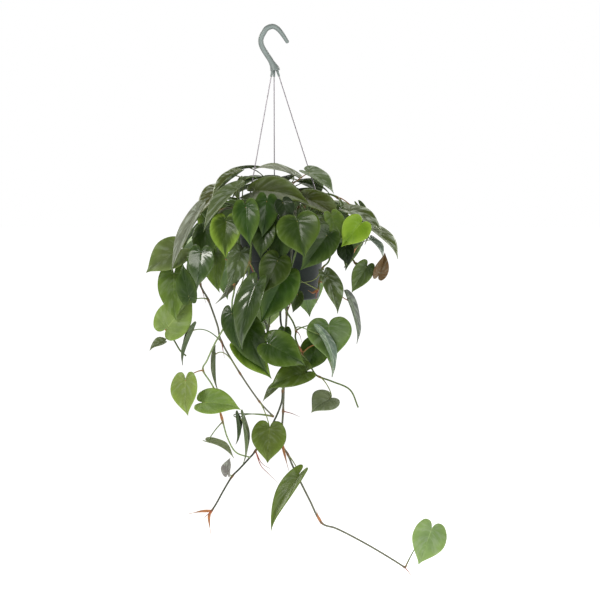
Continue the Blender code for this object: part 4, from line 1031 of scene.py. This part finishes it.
# Where each mark starts and is full: across from the midrib, or as the streaks' noise
RIB_BAND = (0.012, 0.04)
EDGE_BAND = (0.96, 0.99)
SHEEN_STREAK_BAND = (0.46, 0.68)
RIM_BAND = (0.7, 1.35)
RIM_NOISE = 0.5
STREAK_STRETCH = (15.0, 3.2)


def step_in(tree, value, low, high):
    """A soft step from 0 to 1 between two values."""
    return node_in(tree, "MapRange", {"Value": value, "From Min": low, "From Max": high},
                   interpolation_type="SMOOTHSTEP").outputs["Result"]


def shaded(tree, colour, value, hue=0.5, saturation=1.0):
    """The colour made darker or lighter, and a little yellower or bluer."""
    return node_in(tree, "HueSaturation", {"Hue": hue, "Saturation": saturation, "Value": value,
                                           "Color": colour}).outputs["Color"]


# Veins: where a blade's side veins, midrib and edge run over its surface map, where the streaks of
# painted sheen (painted reflection) lie between the veins, and how near the surface is to the rim
veins, given, out = new_group("veins", [("Count", "Float", VEIN_COUNT), ("Width", "Float", VEIN_WIDTH),
                                        ("Seed", "Float", 0.0)],
                              [("Vein", "Float", None), ("Rib", "Float", None), ("Edge", "Float", None),
                               ("Streak", "Float", None), ("Rim", "Float", None)])
place = node_in(veins, "UVMap", uv_map="surface")
split = node_in(veins, "SeparateXYZ", {"Vector": place.outputs["UV"]}).outputs
across = math_in(veins, "ABSOLUTE", math_in(veins, "MULTIPLY_ADD", split["Y"], 2.0, -1.0))
order = math_in(veins, "FRACT", math_in(veins, "MULTIPLY", split["X"], given["Count"]))
off = math_in(veins, "ABSOLUTE", math_in(veins, "SUBTRACT", order, 0.5))
reach = math_in(veins, "MULTIPLY", given["Width"], math_in(veins, "SUBTRACT", VEIN_THINS, across))
line = math_in(veins, "SUBTRACT", 1.0, step_in(veins, off, 0.0, reach))
fading = math_in(veins, "POWER", math_in(veins, "SUBTRACT", VEIN_FADES[0], across), VEIN_FADES[1])
veins.links.new(math_in(veins, "MULTIPLY", line, fading), out["Vein"])
veins.links.new(math_in(veins, "SUBTRACT", 1.0, step_in(veins, across, *RIB_BAND)), out["Rib"])
veins.links.new(step_in(veins, across, *EDGE_BAND), out["Edge"])
# The streaks' noise: it places the painted sheen (painted reflection), and makes the rim uneven
lengthwise = math_in(veins, "MULTIPLY_ADD", split["X"], STREAK_STRETCH[0], given["Seed"])
crosswise = math_in(veins, "MULTIPLY", split["Y"], STREAK_STRETCH[1])
spread = node_in(veins, "CombineXYZ", {"X": lengthwise, "Y": crosswise, "Z": given["Seed"]})
streak = node_in(veins, "TexNoise", {"Vector": spread.outputs["Vector"], "Scale": 1.0, "Detail": 3.0,
                                     "Roughness": 0.55})
veins.links.new(step_in(veins, streak.outputs["Fac"], *SHEEN_STREAK_BAND), out["Streak"])
uneven = math_in(veins, "MULTIPLY_ADD", streak.outputs["Fac"], RIM_NOISE, across)
veins.links.new(step_in(veins, uneven, *RIM_BAND), out["Rim"])


def leaf_material(name, rough, vein_share, rib_share, paler, pale, bump_way):
    """A blade's skin: its own green with soft blotches, veins, streaks of painted sheen (painted
    reflection) between them and a rim.
    """
    material, tree, shader = new_material(name, specular_ior_level=0.16, coat_roughness=0.14)
    green = node_in(tree, "Attribute", attribute_name="tint").outputs["Color"]
    finish = node_in(tree, "Attribute", attribute_name="finish").outputs
    share = node_in(tree, "SeparateColor", {"Color": finish["Color"]}).outputs
    lines = placed(tree, veins, Seed=math_in(tree, "MULTIPLY", finish["Alpha"], SEED_SPREAD))
    blotch = placed(tree, patches, Scale=38.0, Detail=3.0, From=0.3, To=0.72)
    fine = placed(tree, patches, Scale=420.0, Detail=5.0, From=0.3, To=0.7)
    skin = blend(tree, paler, green, pale)
    body = blend(tree, blotch["Mask"], shaded(tree, skin, value=0.72, hue=0.508), skin)
    young = blend(tree, math_in(tree, "MULTIPLY", lines["Rim"], share["Green"]), body, YOUNG)
    # Painted sheen: pale silver streaks between the veins, a painted reflection, as strong as each
    # green's sheen share
    silver = math_in(tree, "MULTIPLY", math_in(tree, "MULTIPLY", lines["Streak"], share["Red"]),
                     SHEEN_HIGHLIGHT_SHARE)
    sheen = blend(tree, silver, young, SHEEN_HIGHLIGHT)
    amount = math_in(tree, "MAXIMUM", math_in(tree, "MULTIPLY", lines["Vein"], vein_share),
                     math_in(tree, "MULTIPLY", lines["Rib"], rib_share))
    amount = math_in(tree, "MAXIMUM", amount, math_in(tree, "MULTIPLY", lines["Edge"], EDGE_SHARE))
    relief = math_in(tree, "MULTIPLY_ADD", lines["Vein"], bump_way,
                     math_in(tree, "MULTIPLY", fine["Height"], FINE_RELIEF))
    light = shaded(tree, skin, value=1.8, hue=0.492, saturation=0.9)
    dress(tree, shader, blend(tree, amount, sheen, light),
          between(tree, fine["Height"], rough - GLOSS_RANGE, rough + GLOSS_RANGE),
          relief=relief, strength=SKIN_RELIEF, depth=0.0005)
    tree.links.new(share["Blue"], shader.inputs["Coat Weight"])
    return material


leaf_upper = leaf_material("leaf_upper", rough=0.42, vein_share=0.15, rib_share=0.4, paler=0.0,
                           pale=UPPER_PALE, bump_way=-1.0)
leaf_under = leaf_material("leaf_under", rough=0.55, vein_share=0.3, rib_share=0.6, paler=0.45,
                           pale=UNDER_PALE, bump_way=1.0)


def eased_curve(points, count):
    """This many points on a smooth curve through the given ones, spread evenly over its spans."""
    points = np.array(points, float)
    ends = np.vstack([2 * points[0] - points[1], points, 2 * points[-1] - points[-2]])
    place = np.linspace(0, len(points) - 1, count)
    span = np.minimum(place.astype(int), len(points) - 2)
    t = (place - span)[:, None]
    a, b, c, d = (ends[span + i] for i in range(4))
    return 0.5 * (2 * b + (c - a) * t + (2 * a - 5 * b + 4 * c - d) * t**2
                  + (3 * b - a - 3 * c + d) * t**3)


def half_blade(one, side, swing, draw):
    """A grid of points on one half's upper surface. Its rows go round the margin from the petiole to
    the tip, and each runs out along the veins."""
    run = one.tip - one.base
    length = run.length
    run.normalize()
    up = (one.face - run * one.face.dot(run)).normalized()
    t = np.linspace(0, 1, MARGIN_STEPS + 1)[:, None]
    s = np.linspace(0, 1, OUT_STEPS + 1)[None, :]
    margin = eased_curve(MARGIN, MARGIN_STEPS + 1)
    rib = np.clip((t - RIB_START) / (1 - RIB_START), 0, 1) ** RIB_EASE
    along = rib + (margin[:, :1] - rib) * s**VEIN_CURVE
    half = np.maximum(margin[:, 1:], 0) * s * one.breadth * length / 2
    lift = 4 * one.arch * length * along * (1 - along) + half * math.sin(one.fold)
    bulge = np.cos(math.pi * VEIN_COUNT * t) ** 2 * (1 - t) ** QUILT_FADE
    lift += QUILT * length / QUILT_LENGTH * bulge * (4 * s * (1 - s)) ** QUILT_ROUND
    lift -= GROOVE * np.exp(-(s / GROOVE_WIDTH) ** 2)
    waves, phase = draw.uniform(*WAVES), draw.uniform(0, 6.28)
    lift += draw.uniform(*WAVE) * s**2 * np.sin(2 * math.pi * waves * t + phase) * np.sin(math.pi * t)
    drip = np.clip((along - DRIP_FROM) / (1 - DRIP_FROM), 0, 1) ** 2
    lift -= DRIP * length * drip
    out_by = side * half * math.cos(one.fold) + swing * length * drip
    return (np.array(one.base)[None, None] + along[..., None] * length * np.array(run)
            + out_by[..., None] * np.array(run.cross(up)) + lift[..., None] * np.array(up))


def add_blade(form, one, tint, finish, draw):
    """Adds a blade's upper surface to the form, its two halves welded along the midrib."""
    swing = draw.uniform(*SWING)
    welded, points, faces, places = {}, [], [], []
    for side in (1, -1):
        spots = half_blade(one, side, swing, draw)
        index = {}
        for i, j in np.ndindex(MARGIN_STEPS + 1, OUT_STEPS + 1):
            key = tuple(np.round(spots[i, j], WELD_DIGITS))
            if key not in welded:
                welded[key] = len(points)
                points.append(spots[i, j])
            index[i, j] = welded[key]
        for i, j in np.ndindex(MARGIN_STEPS, OUT_STEPS):
            corners = [(i, j), (i + 1, j), (i + 1, j + 1), (i, j + 1)][::-side]
            kept = {index[corner]: corner for corner in corners}
            if len(kept) > 2:
                faces.append(list(kept))
                places.append([(a / MARGIN_STEPS, 0.5 + 0.5 * side * b / OUT_STEPS)
                               for a, b in kept.values()])
    form.add(points, faces, [tint] * len(points), places, (*finish, draw.random()))


# The stems' own form: swollen brown nodes, petioles that join each blade from behind, thin aerial
# roots, bare stalks, and the papery sheaths that a leaf leaves behind when it unfolds.
STEM_TAPER = 0.25
STEM_POINT = 4
STEM_SIDES = 12
NODE_SWELL = 0.45
NODE_REACH = 3.2
NODE_BROWN = 0.7
SPUR_POINT = 2.5
SPUR_SIDES = 8
SPUR_TAPER = 0.8
SHEATH_FOOT = 0.7
SHEATH_BULGE = 1.1
SHEATH_FLAT = 0.4
SHEATH_TAPER = 0.75
STALK_SIDES = 10
STALK_POINTS = 14
STALK_BODY = 0.82
STALK_THINS = 0.1
STALK_TIP = 0.7
# A petiole's swelling and browning at its foot and at its blade, as (amount, reach)
FOOT_SWELL = (0.6, 0.12)
HEAD_SWELL = (0.35, 0.07)
FOOT_BROWN = (0.8, 0.08)
HEAD_BROWN = (0.45, 0.06)
SKINS = {"grey": "6c6f5c", "dark": "3f4733", "light": "8ba069", "green": "5c7038"}
NODE_COLOUR = "8a5a3a"
STALK_COLOURS = ("6d8447", "5e7a3c", "7d8a4c", "a97a45", "66803f")
SPUR_COLOURS = {"root": "b85c4a", "sheath": "c07c4c", "stalk": "97a05c"}
SPUR_TIPS = {"root": "6e4a3a", "sheath": "8f6a4a", "stalk": "7f8f4c"}

stem_skin, tree, shader = new_material("stem_skin", specular_ior_level=0.4)
tint = node_in(tree, "Attribute", attribute_name="tint").outputs["Color"]
mottle = placed(tree, patches, Scale=240.0, Detail=6.0, From=0.3, To=0.7)
dress(tree, shader, blend(tree, mottle["Mask"], shaded(tree, tint, value=0.68), tint),
      between(tree, mottle["Height"], 0.42, 0.6), relief=mottle["Height"], strength=0.4, depth=0.0005)


def mixed(a, b, share):
    """The colour between two linear ones."""
    return [x + (y - x) * share for x, y in zip(a, b)]


def add_stem(form, one):
    """Adds the stem, with a swollen brown node wherever something grows from it."""
    line = smooth(rooted(one)[:2] + one.route[1:], STEM_POINT)
    nodes = {wanted.node for wanted in one.leaves} | {node for _, node, _ in one.spurs}
    radii, tints = [], []
    for i, point in enumerate(line):
        near = min((point - one.route[node]).length for node in nodes)
        swell = math.exp(-(near / NODE_REACH) ** 2)
        radii.append(one.radius * (1 - STEM_TAPER * i / len(line)) * (1 + NODE_SWELL * swell))
        tints.append(mixed(linear(SKINS[one.skin]), linear(NODE_COLOUR), NODE_BROWN * swell))
    form.tube(line, radii, STEM_SIDES, tints)


def add_spur(form, kind, points):
    """Adds a root or a stalk, which tapers, or a sheath, which is flat and widest near its foot."""
    path = smooth(points, SPUR_POINT)
    size = SPUR_RADIUS[kind]
    shares = [i / (len(path) - 1) for i in range(len(path))]
    tints = [mixed(linear(SPUR_COLOURS[kind]), linear(SPUR_TIPS[kind]), a) for a in shares]
    if kind == "sheath":
        widths = [size * (SHEATH_FOOT + SHEATH_BULGE * math.sin(math.pi * min(1, a * 1.2 + 0.1)))
                  * (1 - SHEATH_TAPER * a) for a in shares]
        form.tube(path, widths, STALK_SIDES, tints, SHEATH_FLAT)
    else:
        form.tube(path, [size * (1 - SPUR_TAPER * a) for a in shares], SPUR_SIDES, tints)


def at_foot(a, amount, reach):
    """What fades from this amount at the foot."""
    return amount * math.exp(-a / reach)


def at_head(a, amount, reach):
    """What rises to this amount at the blade."""
    return amount * math.exp(-((1 - a) / reach) ** 2)


def add_petiole(form, controls, green):
    """Adds a petiole, thicker and browner at its foot and where it joins the blade."""
    brown = linear(NODE_COLOUR)
    widths, tints = [], []
    for i in range(STALK_POINTS):
        a = i / (STALK_POINTS - 1)
        widths.append(PETIOLE_RADIUS * (STALK_BODY + at_foot(a, *FOOT_SWELL) - STALK_THINS * a
                                        + at_head(a, *HEAD_SWELL)))
        tint = mixed(green, brown, at_foot(a, *FOOT_BROWN))
        tints.append(mixed(tint, brown, at_head(a, *HEAD_BROWN)))
    widths[-1] *= STALK_TIP
    form.tube(interpolate_bezier(*controls, STALK_POINTS), widths, STALK_SIDES, tints)


for one in VINES:
    draw = random.Random(one.name)
    found = [(wanted, fit) for wanted, fit in grown_leaves[one.name] if fit]
    stem = Form()
    add_stem(stem, one)
    for kind, node, points in one.spurs:
        add_spur(stem, kind, [one.route[node], *points])
    for _, (_, controls) in found:
        add_petiole(stem, controls, linear(draw.choice(STALK_COLOURS)))
    stem.shown(one.name + "_stalks", [stem_skin], one.name)
    blades = Form()
    words = one.greens or [draw.choice(FAR_GREENS) for _ in one.leaves]
    for wanted, (moved, _) in found:
        code, *finish = GREENS[words[one.leaves.index(wanted)]]
        green = [part * draw.uniform(*GREEN_SPREAD) for part in linear(code)]
        add_blade(blades, moved, green, finish, draw)
    piece = blades.shown(one.name + "_blades", [leaf_upper, leaf_under], one.name)
    shell = piece.modifiers.new("thickness", "SOLIDIFY")
    shell.thickness = THICK * MM
    shell.offset = 0
    shell.material_offset = 1

# The studio: a wide pale floor under a bright even sky, with a large soft light high on the left, a
# weaker one on the right and three from above and behind, and a long lens a little above the middle.
FLOOR = -1.15
FLOOR_REACH = 30
DISTANCE = 4.5
LIFT = math.radians(3)
TARGET = Vector((0.0415, 0, -0.4053))
FRAME_WIDTH = 0.9
SENSOR = 36
# Each light's name, place, size and power
LIGHTS = (("key", (-1.9, -2.0, 1.3), 1.0, 50), ("fill", (2.2, -1.7, 0.5), 1.3, 26),
          ("top", (0.1, 1.2, 1.6), 2.2, 30), ("rim_left", (-2.1, 1.9, 0.6), 1.8, 55),
          ("rim_right", (2.1, 1.9, 0.6), 1.8, 55))
LIGHT_AIM = Vector((0, 0, -0.4))
SKY_LIGHT = 0.25
WARM = (1.0, 0.98, 0.92)

floor = bpy.data.meshes.new("floor")
corners = [(x * FLOOR_REACH, y * FLOOR_REACH, FLOOR) for x, y in ((-1, -1), (1, -1), (1, 1), (-1, 1))]
floor.from_pydata(corners, [], [(0, 1, 2, 3)])
floor_paint, tree, shader = new_material("floor_paint", base_color=(0.5, 0.5, 0.5, 1), roughness=0.9,
                                         specular_ior_level=0.0, emission_color=(1, 1, 1, 1),
                                         emission_strength=0.97)
floor.materials.append(floor_paint)
in_scene("floor", floor)

for name, place, size, power in LIGHTS:
    lamp = bpy.data.lights.new(name, "AREA")
    lamp.shape = "DISK"
    lamp.size = size
    lamp.energy = power
    lamp.color = WARM
    holder = in_scene(name, lamp)
    holder.location = place
    holder.rotation_mode = "QUATERNION"
    holder.rotation_quaternion = (Vector(place) - LIGHT_AIM).to_track_quat("Z", "Y")

sky = bpy.data.worlds.new("studio")
sky.use_nodes = True
seen = sky.node_tree.nodes.new("ShaderNodeLightPath").outputs["Is Camera Ray"]
background = sky.node_tree.nodes["Background"]
background.inputs["Color"].default_value = (1, 1, 1, 1)
sky.node_tree.links.new(between(sky.node_tree, seen, SKY_LIGHT, 1.0), background.inputs["Strength"])
bpy.context.scene.world = sky
bpy.context.scene.view_settings.view_transform = "Standard"

lens = bpy.data.cameras.new("lens")
lens.sensor_width = SENSOR
lens.lens = SENSOR * DISTANCE / FRAME_WIDTH
camera = in_scene("camera", lens)
camera.location = TARGET + Vector((0, -DISTANCE * math.cos(LIFT), DISTANCE * math.sin(LIFT)))
camera.rotation_euler = (math.pi / 2 - LIFT, 0, 0)
bpy.context.scene.camera = camera
